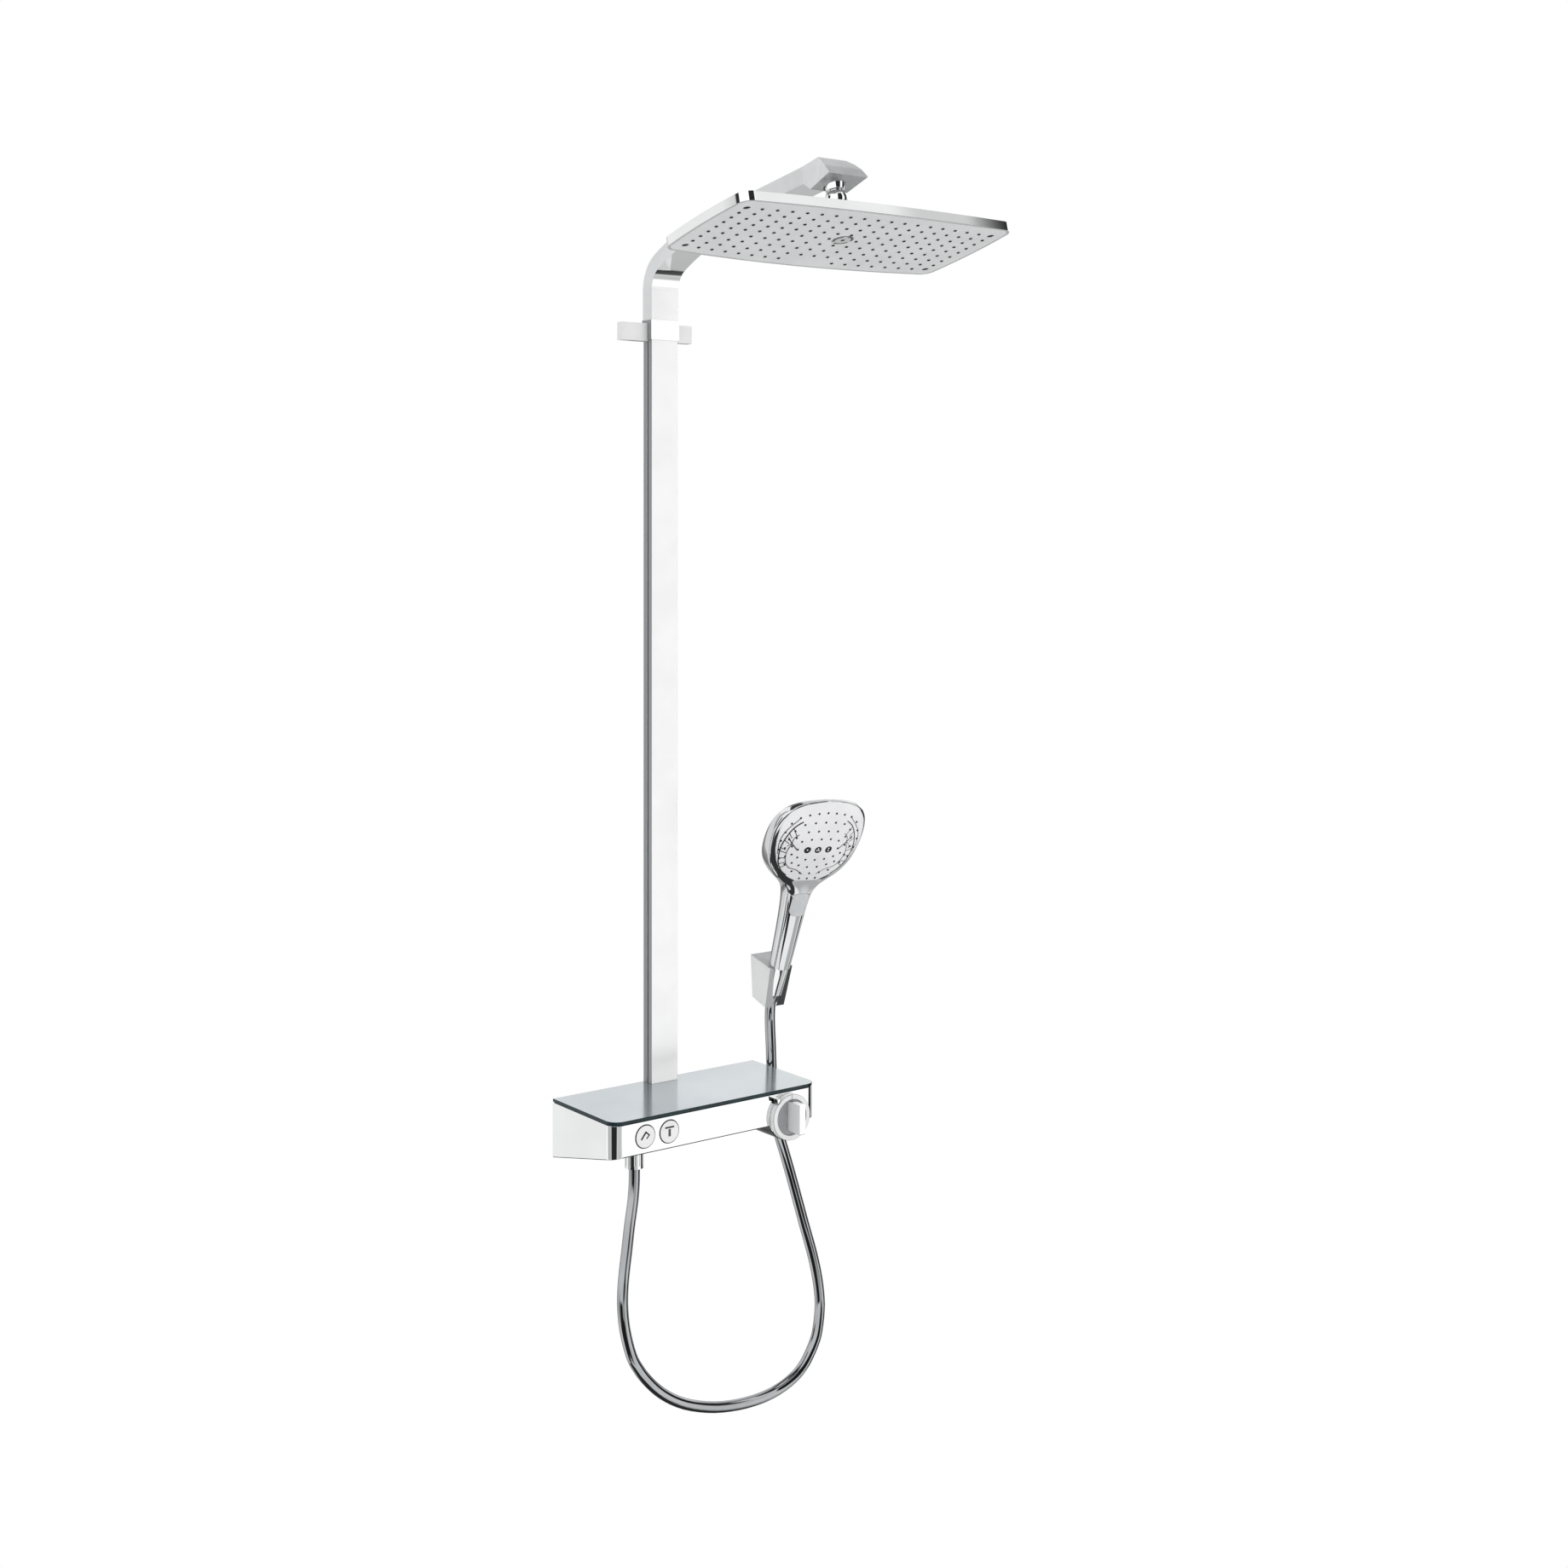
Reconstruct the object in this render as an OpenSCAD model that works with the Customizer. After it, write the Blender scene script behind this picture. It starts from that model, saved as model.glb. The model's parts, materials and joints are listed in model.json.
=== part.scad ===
// Rainfall shower column: shelf mixer with thermostat, riser column, arm, rain head,
// handset with its own wall holder, and hose.  Millimetres.
// The wall is the plane y = 0, the object stands towards -y, and z is up.
// The origin lies midway between the two water inlets, on the wall.

/* [Mixer body] */
// Width of the mixer body and of its glass shelf
mixer_w = 310; // [296:1:360]
// Depth of the mixer from the wall to its front
mixer_d = 140; // [134:1:170]
// Height of the body at its front edge
front_h = 39; // [37:1:60]
// Height of the body where it meets the wall
back_h = 69; // [62:1:90]
// Wall thickness of the body casting
body_wall = 3; // [2:0.5:4]
// Radius of the body's front corners
corner_r = 16; // [8:1:24]
// Thickness of the glass shelf
glass_t = 4; // [3:0.5:8]
// Height of the glass top above the inlets
shelf_z = 40; // [38:1:60]
// Distance between the two inlets
inlet_gap = 150; // [146:1:154]

/* [Controls] */
// Radius of a select button
button_r = 14.2; // [12:0.1:14.2]
// Distance between the two select buttons
button_gap = 35; // [33:0.5:36]
// Travel of a select button
button_travel = 3; // [2:0.5:4]
// Outer radius of the thermostat scale ring
ring_r = 29; // [27:0.5:30]
// Length of the scale ring in front of the body
ring_len = 8; // [6:0.5:12]
// Width of the lever blade on the thermostat handle
blade_w = 9; // [6:0.5:12]

/* [Column] */
// Width of the riser column
column_w = 40; // [34:1:50]
// Depth of the riser column
column_d = 19; // [18:0.5:26]
// Wall thickness of the riser column
column_wall = 1.6; // [1.2:0.1:2.5]
// Height of the joint between column and arm
arm_z = 1020; // [800:5:1200]
// Outer radius of the riser pipe
pipe_r = 6; // [5.5:0.1:6.5]
// Reach of the wall bracket to the left of the column's middle
wing_left = 59.5; // [56:0.5:80]
// Reach of the wall bracket to the right of the column's middle
wing_right = 48; // [48:0.5:80]

/* [Arm] */
// Width of the arm
arm_w = 41; // [36:0.5:50]
// Thickness of the arm
arm_t = 20.5; // [19:0.5:26]
// Radius of the small bend at the top of the column
bend_r = 50; // [45:1:80]
// Length of the straight end of the arm
arm_run = 237; // [150:1:320]

/* [Rain head] */
// Width of the rain head
head_w = 393; // [240:1:420]
// Depth of the rain head at its corners
head_d = 161; // [140:1:260]
// Thickness of the rain head
head_t = 11; // [10:0.5:20]
// Corner radius of the rain head
head_corner_r = 16; // [8:1:30]
// Drop from the ball joint to the face of the rain head
head_drop = 50.3; // [48:0.1:70]

/* [Handset] */
// Distance of the handset axis to the right of the inlets' middle
holder_x = 171; // [165:1:220]
// Height of the handset seat
holder_z = 169; // [150:1:260]
// Distance of the handset seat from the wall
seat_y = 38.5; // [38:0.5:44]
// Lean of the handset away from the wall
lean = 20; // [17:0.5:21]
// Largest width of the handset head
handset_w = 136; // [110:1:140]
// Width of the holder at its top
holder_w = 38; // [37:0.5:46]

/* [Hose] */
// Outer radius of the shower hose
hose_r = 7; // [6:0.1:7.5]

/* [Hidden] */
$fn = 0;
eps = 0.01;
gap = 0.3;

// mixer
body_top = shelf_z - glass_t - 1;
deck = body_top - body_wall;
back_z = body_top - back_h;
front_z = body_top - front_h;
knob_x = 108.5;
knob_z = 4.5;
blade_low = 17.2;
stop_x = knob_x - 22.2;
stop_z = knob_z + 23.4;
select_x = -74;
select_z = 17;
hand_x = select_x - button_gap;
notch = 9;
floor_slope = (back_h - front_h) / mixer_d;
plate_z = back_z + 6.5;
plate_x = mixer_w / 2 - 10;
tab_x = 120;
block_y = 50;
block_front = 92;
block_low = -8;
block_left = hand_x - button_r - 1.8;
port_y = 67;
port_x = -77;
inlet_x = inlet_gap / 2;
nut_r = 18;
union_back = 29;

// column and arm
pipe_bore = pipe_r - 1.5;
col_y = -1 - column_d / 2;
sleeve_w = column_w + 3.2;
groove_w = 4;
lug_w = 22;
lug_x = [-(wing_left + sleeve_w / 2) / 2, (wing_right + sleeve_w / 2) / 2];
pipe_z = 14;
pipe_foot = 44;
plug_z = arm_z - 35;
pipe_top = plug_z + 15;
arm_back = col_y + arm_t / 2;
arm_wall = 2.5;
neck = 38;
nose_len = 30;
bend_a = 62;
sweep_r = 341;
sweep_a = 18.5;
arm_a = bend_a + sweep_a;
end_y = arm_back - bend_r * (1 - cos(bend_a)) - sweep_r * (cos(bend_a) - cos(arm_a)) - arm_run * sin(arm_a);
end_z = arm_z + neck + bend_r * sin(bend_a) + sweep_r * (sin(arm_a) - sin(bend_a)) + arm_run * cos(arm_a);

// ball joint, seen from the end of the arm's top face
ball_drop = 25 + arm_t;
ball_out = 2;
tilt = 13.2;
ball_r = 7;
housing_r = 13;
ball_y = end_y + cos(arm_a) * -ball_drop - sin(arm_a) * ball_out;
ball_z = end_z + sin(arm_a) * -ball_drop + cos(arm_a) * ball_out;
head_wall = 2.5;
nozzle_x = 19.74;
side_bow = 3;
back_bow = 11;
front_bow = 5;
front_row = head_d / 2 - 22.5;
back_row = head_d / 2 - 19;
grid_cols = floor((head_w / 2 - 16) / nozzle_x);
grid_rows = 4;

// handset
hs = handset_w / 136;
cone_len = 40;
cone_top = 2.8;
cone_r0 = 9;
cone_r1 = 12;
seat = [holder_x, -seat_y, holder_z];
hose_end = seat + cone_len * [0, sin(lean), -cos(lean)];
face_a = 7;
face_rise = 6;
face_ball = (pow(62, 2) + pow(face_rise, 2)) / (2 * face_rise);
icons = [-15.7, 0, 15.7];
icon_z = -6.8;
holder_screw = 30;

// Sections of the handset: height, half width, front, back, squareness of front and back
sections = [
    [cone_top, 14.2, -13.8, 14.2, 2, 2],
    [30, 15, -14.4, 15.5, 2.1, 2.1],
    [60, 16, -15, 17, 2.1, 2.1],
    [90, 17.5, -15, 19, 2.2, 2.2],
    [108, 19.5, -14.6, 20, 2.3, 2.4],
    [118, 22.5, -14, 20.5, 2.6, 2.6],
    [127, 29, -13.5, 21, 3.2, 2.8],
    [135, 38, -13.4, 21.5, 4.5, 3],
    [143, 46.5, -14.4, 22, 6.5, 3.3],
    [152, 54, -15.5, 21.5, 8, 3.5],
    [163, 60.5, -16.8, 19.5, 9, 3.6],
    [176, 65, -18.4, 16.5, 9, 3.6],
    [192, 67.5, -20.4, 12, 9, 3.6],
    [208, 68, -22.4, 7, 9, 3.5],
    [222, 66, -24.1, 2.5, 9, 3.4],
    [234, 61.5, -25.6, -2, 9, 3.2],
    [244, 53.5, -26.8, -7, 9, 3],
    [251, 41, -27.6, -12, 8, 2.8],
    [255, 27, -28, -17, 6, 2.4],
    [257.5, 8, -27.5, -22, 3, 2]
];

// Route of the hose, from the outlet nut, under the mixer and up to the handset
route = [
    [port_x, -port_y, -44],
    [port_x, -port_y, -60],
    [-79, -67, -85],
    [-84, -67, -115],
    [-89, -68, -147],
    [-94, -69, -178],
    [-97, -71, -208],
    [-95, -73, -240],
    [-87, -75, -273],
    [-78, -76, -291],
    [-65, -77, -309],
    [-43, -78, -331],
    [-10, -79, -352],
    [36, -80, -368],
    [85, -80, -375],
    [128, -80, -373],
    [160, -80, -363],
    [178, -80, -351],
    [190, -79, -338],
    [200, -78, -323],
    [206, -77, -307],
    [211, -75, -277],
    [209, -72, -243],
    [203, -68, -209],
    [195, -63, -175],
    [188, -57, -141],
    [181, -51, -107],
    [175, -44, -76],
    [holder_x, -36, -49],
    [holder_x, -27, -15],
    [holder_x, -22, 25],
    [holder_x, -20, 60],
    [hose_end[0], hose_end[1] + 7, hose_end[2] - 36],
    hose_end + 16 * [0, sin(lean), -cos(lean)],
    hose_end
];

chrome = [0.82, 0.84, 0.86];
steel = [0.66, 0.68, 0.7];
brass = [0.78, 0.66, 0.42];
dark = [0.12, 0.13, 0.14];
white = [0.93, 0.93, 0.93];
grey = [0.55, 0.57, 0.6];

// ---- shared shapes ----

// A round bar from depth y0 to depth y1 in front of the wall
module bar(x, z, y0, y1, r) {
    translate([x, -y0, z]) rotate([90, 0, 0]) cylinder(r = r, h = y1 - y0);
}

module tube(r_out, r_in, h) {
    difference() {
        cylinder(r = r_out, h = h);
        translate([0, 0, -1]) cylinder(r = r_in, h = h + 2);
    }
}

// Outline of the mixer from above, set in by d, starting a little off the wall
module plan(d, off) {
    translate([-mixer_w / 2 + d, -mixer_d + corner_r]) square([mixer_w - 2 * d, mixer_d - corner_r - off]);
    translate([-mixer_w / 2 + corner_r, -mixer_d + d]) square([mixer_w - 2 * corner_r, mixer_d - d - off]);
    for (s = [-1, 1]) translate([s * (mixer_w / 2 - corner_r), -mixer_d + corner_r]) circle(r = corner_r - d);
}

// Side shape of the mixer, set in by d from the floor and the deck
module wedge(d, off) {
    translate([-mixer_w, 0, 0]) rotate([90, 0, 90]) linear_extrude(2 * mixer_w) polygon([
        [-off, back_z + floor_slope * off + d],
        [-off, body_top - d],
        [-mixer_d - 1, body_top - d],
        [-mixer_d - 1, front_z + floor_slope + d]
    ]);
}

module riser_notch(z0, h) {
    translate([-notch, -1 - column_d + 1, z0]) cube([2 * notch, column_d + 1, h]);
}

// A hexagon nut lying on the inlet axis
module union_nut(x) {
    difference() {
        bar(x, 0, 23, 41, 18);
        bar(x, 0, 22, 26.5, 13);
        bar(x, 0, 26, 42, 14.9);
        for (k = [0:5]) translate([x, -32, 0]) rotate([0, 60 * k, 0])
            translate([16.4, -20, -20]) cube([10, 40, 40]);
    }
}

module inlet_union(x) {
    difference() {
        union() {
            bar(x, 0, -18, 7, 10.3);
            bar(x, 0, 3, 7, 19);
            bar(x, 0, 6, 27, 13);
            bar(x, 0, 26, 28, 14.5);
        }
        bar(x, 0, -19, 30, 8);
    }
}

module select_valve(x) {
    union() {
        bar(x, select_z, 64, mixer_d - 36, button_r - 2);
        bar(x, select_z, mixer_d - 36, mixer_d - 22, button_r - 5);
        bar(x, select_z, mixer_d - 22, mixer_d - 14 - button_travel - 0.5, 4);
    }
}

module select_button(x) {
    union() {
        bar(x, select_z, mixer_d - 4, mixer_d + 1, button_r);
        bar(x, select_z, mixer_d - 14, mixer_d - 3, 5);
    }
}

// A point of the arm's side view, seen from the front end of its top face
function arm_at(y, z) = [end_y + cos(arm_a) * y - sin(arm_a) * z, end_z + sin(arm_a) * y + cos(arm_a) * z];

// Side view of the arm at a depth h below its top face, from z0 to the front end less z1
function arm_line(h, z0, z1) = let (e = bend_r - sweep_r) concat(
    [[arm_back - h, z0]],
    [for (k = [0:24]) let (a = bend_a * k / 24) [
        arm_back - bend_r + (bend_r - h) * cos(a),
        arm_z + neck + (bend_r - h) * sin(a)
    ]],
    [for (k = [1:10]) let (a = bend_a + sweep_a * k / 10) [
        arm_back - bend_r + e * cos(bend_a) + (sweep_r - h) * cos(a),
        arm_z + neck + e * sin(bend_a) + (sweep_r - h) * sin(a)
    ]],
    [arm_at(-h, -z1)]
);
function backwards(p) = [for (k = [len(p) - 1:-1:0]) p[k]];

// The arm's section, set in by d
module arm_bar(d, z0, z1) {
    translate([-arm_w / 2 + d, 0, 0]) rotate([90, 0, 90]) linear_extrude(arm_w - 2 * d)
        polygon(concat(arm_line(d, z0, z1), backwards(arm_line(arm_t - d, z0, z1))));
}

// Sections across the flared nose: half width, height and reach of its top edge, then of its bottom edge
nose = [
    [0.3, 2, 2, 5.8, -arm_t - 12.6, -11.4],
    [4, -5.3, 11.9, 6.5, -arm_t - 9.9, 1.7],
    [6.8, -13.9, 20.5, 7.3, -arm_t - 7.1, 14.7],
    [8, -arm_t - 3.2, 27.8, 8, -arm_t - 4.6, 27.6]
];

// The whole arm outside, from the column to the front edge of the nose
function cross_ring(w0, low, w1, high) = [
    [-w0, low[0], low[1]], [w0, low[0], low[1]], [w1, high[0], high[1]], [-w1, high[0], high[1]]
];
module arm_skin() {
    high = arm_line(0, arm_z, nose_len);
    low = arm_line(arm_t, arm_z, nose_len);
    w = arm_w / 2;
    skin(concat(
        [for (k = [0:len(high) - 1]) cross_ring(w, low[k], w, high[k])],
        [for (n = nose) cross_ring(w + n[3], arm_at(n[4], n[5]), w + n[0], arm_at(n[1], n[2]))]
    ), 4);
}

module arm_end() {
    translate([0, end_y, end_z]) rotate([arm_a, 0, 0]) children();
}

module ball_frame() {
    translate([0, ball_y, ball_z]) rotate([-tilt, 0, 0]) children();
}

module head_frame() {
    ball_frame() translate([0, 0, -head_drop]) children();
}

// Outline of the rain head, set in by d, with gently bowed sides
function arc_points(cx, cy, r, a0) = [for (k = [0:12]) [cx + r * cos(a0 + 7.5 * k), cy + r * sin(a0 + 7.5 * k)]];
function bow(b, k) = b * (1 - pow(k / 4 - 1, 2));
function head_outline(d) = let (
    w = head_w / 2 - d, h = head_d / 2 - d, r = head_corner_r - d, m = w - r, n = h - r
) concat(
    arc_points(m, -n, r, -90),
    [for (k = [1:7]) [w + bow(side_bow, k), -n + n * k / 4]],
    arc_points(m, n, r, 0),
    [for (k = [1:7]) [m - m * k / 4, h + bow(back_bow, k)]],
    arc_points(-m, n, r, 90),
    [for (k = [1:7]) [-w - bow(side_bow, k), n - n * k / 4]],
    arc_points(-m, -n, r, 180),
    [for (k = [1:7]) [-m + m * k / 4, -h - bow(front_bow, k)]]
);

module head_plate(d, z0, h) {
    translate([0, 0, z0]) linear_extrude(h) polygon(head_outline(d));
}

// Rows of nozzles that follow the bowed front and back; row 1 and up lie to the front
function spot(i, j) = let (b = 1 - pow(i / grid_cols, 2)) [
    i * nozzle_x,
    -j / grid_rows * (j > 0 ? front_row + 1.5 * front_bow * b : back_row + back_bow * b)
];
function is_corner(i, j) = abs(i) == grid_cols && abs(j) == grid_rows;
module nozzle_grid(r, z0, h) {
    for (i = [-grid_cols:grid_cols]) for (j = [-grid_rows:grid_rows])
        if (!is_corner(i, j) && (i != 0 || j != 0) && (abs(i) > 1 || j > -grid_rows))
            translate(concat(spot(i, j), z0)) cylinder(r = r, h = h, $fn = 10);
}

module head_corners() {
    for (i = [-1, 1]) for (j = [-1, 1]) translate(spot(i * grid_cols, j * grid_rows)) children();
}

// The handset's own frame: z along the handle, -y to the front
module handset_frame() {
    translate(seat) rotate([lean, 0, 0]) rotate([0, 0, -8]) children();
}

function side_power(v, n) = sign(v) * pow(abs(v), 2 / n);
function section_points(s, d, m) = let (
    w = s[1] * (s[0] > 118 ? hs : 1) - d, c = (s[2] + s[3]) / 2, t = (s[3] - s[2]) / 2 - d
) [
    for (k = [0:m - 1]) let (a = 360 * k / m, n = sin(a) < 0 ? s[4] : s[5])
        [w * side_power(cos(a), n), c + t * side_power(sin(a), n), s[0]]
];

// Skin through a list of sections, closed at both ends
module skin(list, m) {
    count = len(list);
    points = [for (s = list) each s];
    sides = [
        for (i = [0:count - 2]) for (k = [0:m - 1]) let (a = i * m + k, b = i * m + (k + 1) % m)
            each [[a, a + m, b + m], [a, b + m, b]]
    ];
    ends = [[for (k = [0:m - 1]) k], [for (k = [m - 1:-1:0]) (count - 1) * m + k]];
    polyhedron(points = points, faces = concat(ends, sides), convexity = 4);
}

module handset_skin(d, first, last) {
    skin([for (i = [first:last]) section_points(sections[i], d, 40)], 40);
}

// Plane of the spray face, its origin on the middle of the face
module face_frame() {
    translate([0, -13.4, 135]) rotate([face_a, 0, 0]) translate([0, 0, 60]) children();
}

// Outline of the handset face, set in by d
face_rows = [
    [-58, 16], [-53, 27], [-46, 38], [-37, 47], [-25, 54], [-10, 59.5], [6, 62],
    [22, 62], [35, 59], [46, 52.5], [54, 43], [59, 31], [61.5, 15]
];
module face_plate(d, y0, h) {
    translate([0, y0 + h, 0]) rotate([90, 0, 0]) linear_extrude(h) polygon(concat(
        [for (p = face_rows) [hs * p[1] - d, p[0] - d * p[0] / 60]],
        [for (k = [len(face_rows) - 1:-1:0]) [-hs * face_rows[k][1] + d, face_rows[k][0] - d * face_rows[k][0] / 60]]
    ));
}

// Jets of the handset, right half: across and up from the middle of the face
jets = [
    [0, 48], [13, 47], [26, 44.8], [38, 40.5], [0, 34.6], [15, 33.8], [29.5, 31], [48.5, 32],
    [7.4, 21.7], [21.8, 20.6], [41, 21.5], [54, 19],
    [0, 9.9], [14.2, 9.4], [27.5, 6.2], [36.5, 11.5], [46.5, 9], [57, 6],
    [30, -6], [39.5, -1.5], [48.5, -4.5], [56, -7.5],
    [0, -22.6], [14, -21.8], [27, -18.5], [36.5, -14], [44.5, -17.5], [51.5, -21],
    [7.4, -34.4], [20.8, -31.3], [32, -27.5], [41.5, -30],
    [0, -45.4], [14.4, -44.4], [27.5, -41.5], [0, -54.6], [12, -54]
];
function crown(x, z) = -face_rise - 0.6 + face_ball - sqrt(pow(face_ball, 2) - x * x - pow(z - 3, 2));
module face_jets(r, proud, y1) {
    for (j = jets) for (s = j[0] == 0 ? [1] : [-1, 1]) let (y0 = crown(j[0], j[1]) - proud)
        translate([s * hs * j[0], y1, j[1]]) rotate([90, 0, 0]) cylinder(r = r, h = y1 - y0, $fn = 10);
}

// A round-cornered block that cuts the button's window in the handle
module button_window(d) {
    translate([0, -6, 100.5]) rotate([90, 0, 0]) linear_extrude(16) union() {
        square([25 - 2 * d, 19 - 2 * d], center = true);
        square([11 - 2 * d, 33 - 2 * d], center = true);
        for (x = [-5.5, 5.5]) for (y = [-9.5, 9.5]) translate([x, y]) circle(r = 7 - d);
    }
}

// Cone of the hose nut, widened by d, from z0 up to z1
function cone_r(z) = cone_r0 + (cone_r1 - cone_r0) * (z + cone_len) / (cone_len + cone_top);
module cone(d, z0, z1) {
    translate([0, 0, z0]) cylinder(r1 = cone_r(z0) + d, r2 = cone_r(z1) + d, h = z1 - z0);
}

// ---- hose sweep ----
function unit(v) = v / norm(v);
function smooth(p) = [
    for (i = [0:len(p) - 2]) let (a = p[max(i - 1, 0)], b = p[i], c = p[i + 1], d = p[min(i + 2, len(p) - 1)])
        each [b, (9 * (b + c) - a - d) / 16]
];
function tangent(p, i) = unit(p[min(i + 1, len(p) - 1)] - p[max(i - 1, 0)]);
function ring_points(p, i, r, m) = let (t = tangent(p, i), u = unit([0, 1, 0] - t[1] * t), v = cross(t, u)) [
    for (k = [0:m - 1]) p[i] + r * (cos(360 * k / m) * u + sin(360 * k / m) * v)
];

module pipe(p, r) {
    skin([for (i = [0:len(p) - 1]) ring_points(p, i, r, 16)], 16);
}

// ---- mixer ----

module mixer_body() {
    color(chrome) difference() {
        union() {
            intersection() {
                translate([0, 0, back_z - 1]) linear_extrude(back_h + 1) plan(0, 0);
                wedge(0, 0);
            }
            bar(knob_x, knob_z, 20, mixer_d, 30);
        }
        intersection() {
            translate([0, 0, back_z]) linear_extrude(back_h - body_wall) plan(body_wall, -1);
            wedge(body_wall, -1);
        }
        bar(knob_x, knob_z, 20 + body_wall, mixer_d - body_wall, 27);
        bar(knob_x, knob_z, mixer_d - 10, mixer_d + 1, 20);
        bar(stop_x, stop_z, mixer_d - 10, mixer_d + 1, 4);
        for (x = [hand_x, select_x]) bar(x, select_z, mixer_d - 10, mixer_d + 1, button_r + 0.4);
        translate([port_x, -port_y, back_z - 1]) cylinder(r = 12.5, h = back_h / 2);
        riser_notch(deck - 1, body_wall + 3);
        for (s = [-1, 1]) translate([s * tab_x, -8, back_z - 1]) cylinder(r = 2, h = 8);
    }
}

module glass_shelf() {
    color([0.72, 0.78, 0.8]) difference() {
        translate([0, 0, shelf_z - glass_t]) linear_extrude(glass_t) plan(0, 0.5);
        riser_notch(shelf_z - glass_t - 1, glass_t + 2);
    }
}

module shelf_gasket() {
    color(dark) difference() {
        translate([0, 0, body_top]) linear_extrude(1) plan(1.2, 2);
        translate([0, 0, body_top - 1]) linear_extrude(3) plan(9, 22);
        riser_notch(body_top - 1, 3);
    }
}

module wall_plate() {
    color(steel) difference() {
        union() {
            translate([-plate_x, -3, plate_z]) cube([2 * plate_x, 3, deck - plate_z]);
            for (s = [-1, 1]) translate([s * tab_x - 9, -13, plate_z]) cube([18, 11, 4]);
        }
        for (s = [-1, 1]) bar(s * inlet_x, 0, -1, 4, 13);
        for (s = [-1, 1]) for (z = [-17, 19]) bar(s * tab_x, z, -1, 4, 2.75);
        for (s = [-1, 1]) translate([s * tab_x, -8, plate_z - 1]) cylinder(r = 2, h = 6);
        for (x = [-36, 36]) translate([x - 14, -4, -12]) cube([28, 5, 24]);
    }
}

module waterway_block() {
    color(brass) difference() {
        union() {
            translate([block_left, -block_front, block_low])
                cube([knob_x + 2 - block_left, block_front - block_y, deck - block_low]);
            bar(knob_x, knob_z, block_y, block_front, 25);
            for (s = [-1, 1]) bar(s * inlet_x, 0, union_back, block_y + 1, 14.9);
        }
        bar(knob_x, knob_z, 56, block_front + 1, 21);
        for (x = [hand_x, select_x]) bar(x, select_z, 64, block_front + 1, button_r - 2);
        for (s = [-1, 1]) bar(s * inlet_x, 0, union_back - 1, 55, 9);
        translate([-inlet_x, -58, 0]) cylinder(r = 3.5, h = 26);
        translate([-inlet_x, -58, 26]) rotate([0, 90, 0]) cylinder(r = 3.5, h = inlet_x + knob_x);
        translate([-inlet_x, -54, 0]) rotate([90, 0, 0]) cylinder(r = 3.5, h = 7);
        translate([inlet_x - 4, -53, -2]) rotate([0, 90, 0]) cylinder(r = 2.5, h = 20);
        bar(inlet_x + 15, -2, 53, 60, 2.5);
        translate([hand_x, -84, 10]) rotate([0, 90, 0]) cylinder(r = 4, h = knob_x - hand_x);
        translate([select_x, -71, 14]) rotate([0, 90, 0]) cylinder(r = 4, h = -select_x);
        bar(0, pipe_z, block_y - 1, 58, pipe_r);
        bar(0, pipe_z, 57, 71, 4);
        translate([hand_x, -port_y, -2]) rotate([0, 90, 0]) cylinder(r = 3.5, h = port_x - hand_x);
        translate([hand_x, -port_y, -2]) cylinder(r = 3.5, h = 10);
        translate([port_x, -port_y, block_low - 1]) cylinder(r = 6, h = 9);
        translate([port_x, -port_y, block_low - 1]) cylinder(r = 9, h = 5);
    }
}

module inlet_union_left() {
    color(brass) inlet_union(-inlet_x);
}

module inlet_union_right() {
    color(brass) inlet_union(inlet_x);
}

module union_nut_left() {
    color(steel) union_nut(-inlet_x);
}

module union_nut_right() {
    color(steel) union_nut(inlet_x);
}

module inlet_washers() {
    color(dark) for (s = [-1, 1]) difference() {
        bar(s * inlet_x, 0, 28, union_back, 14.5);
        bar(s * inlet_x, 0, 27, union_back + 1, 8);
    }
}

module check_valves() {
    color(white) for (s = [-1, 1]) difference() {
        bar(s * inlet_x, 0, 30, 45, 9);
        bar(s * inlet_x, 0, 29, 40, 6);
        for (k = [0:3]) bar(s * inlet_x + 4.5 * cos(45 + 90 * k), 4.5 * sin(45 + 90 * k), 39, 46, 2.2);
    }
}

module thermostat_cartridge() {
    color(white) difference() {
        union() {
            bar(knob_x, knob_z, 56, 96, 21);
            bar(knob_x, knob_z, 95, mixer_d - 12, 14);
            bar(knob_x, knob_z, mixer_d - 13, mixer_d + 4, 5);
        }
        for (k = [0:5]) translate([knob_x, -70, knob_z]) rotate([0, 60 * k, 0])
            translate([18, -6, -4]) cube([6, 12, 8]);
    }
}

module select_valve_hand() {
    color(white) select_valve(hand_x);
}

module select_valve_overhead() {
    color(white) select_valve(select_x);
}

module scale_ring() {
    color(white) difference() {
        bar(knob_x, knob_z, mixer_d, mixer_d + ring_len, ring_r);
        bar(knob_x, knob_z, mixer_d - 1, mixer_d + ring_len + 1, ring_r - 6.4);
        bar(stop_x, stop_z, mixer_d - 1, mixer_d + ring_len + 1, 4);
    }
}

module hose_outlet() {
    color(chrome) translate([port_x, -port_y, 0]) difference() {
        union() {
            translate([0, 0, block_low - 24]) cylinder(r = 10.3, h = 24);
            translate([0, 0, block_low - 1]) cylinder(r = 9, h = 5);
        }
        translate([0, 0, block_low - 25]) cylinder(r = 6, h = 32);
    }
}

module body_grub_screws() {
    color(dark) for (s = [-1, 1]) translate([s * tab_x, -8, back_z + 8 * floor_slope]) difference() {
        cylinder(r = 2, h = 9);
        translate([0, 0, -1]) cylinder(r = 1.2, h = 3, $fn = 6);
    }
}

// ---- column ----

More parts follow.
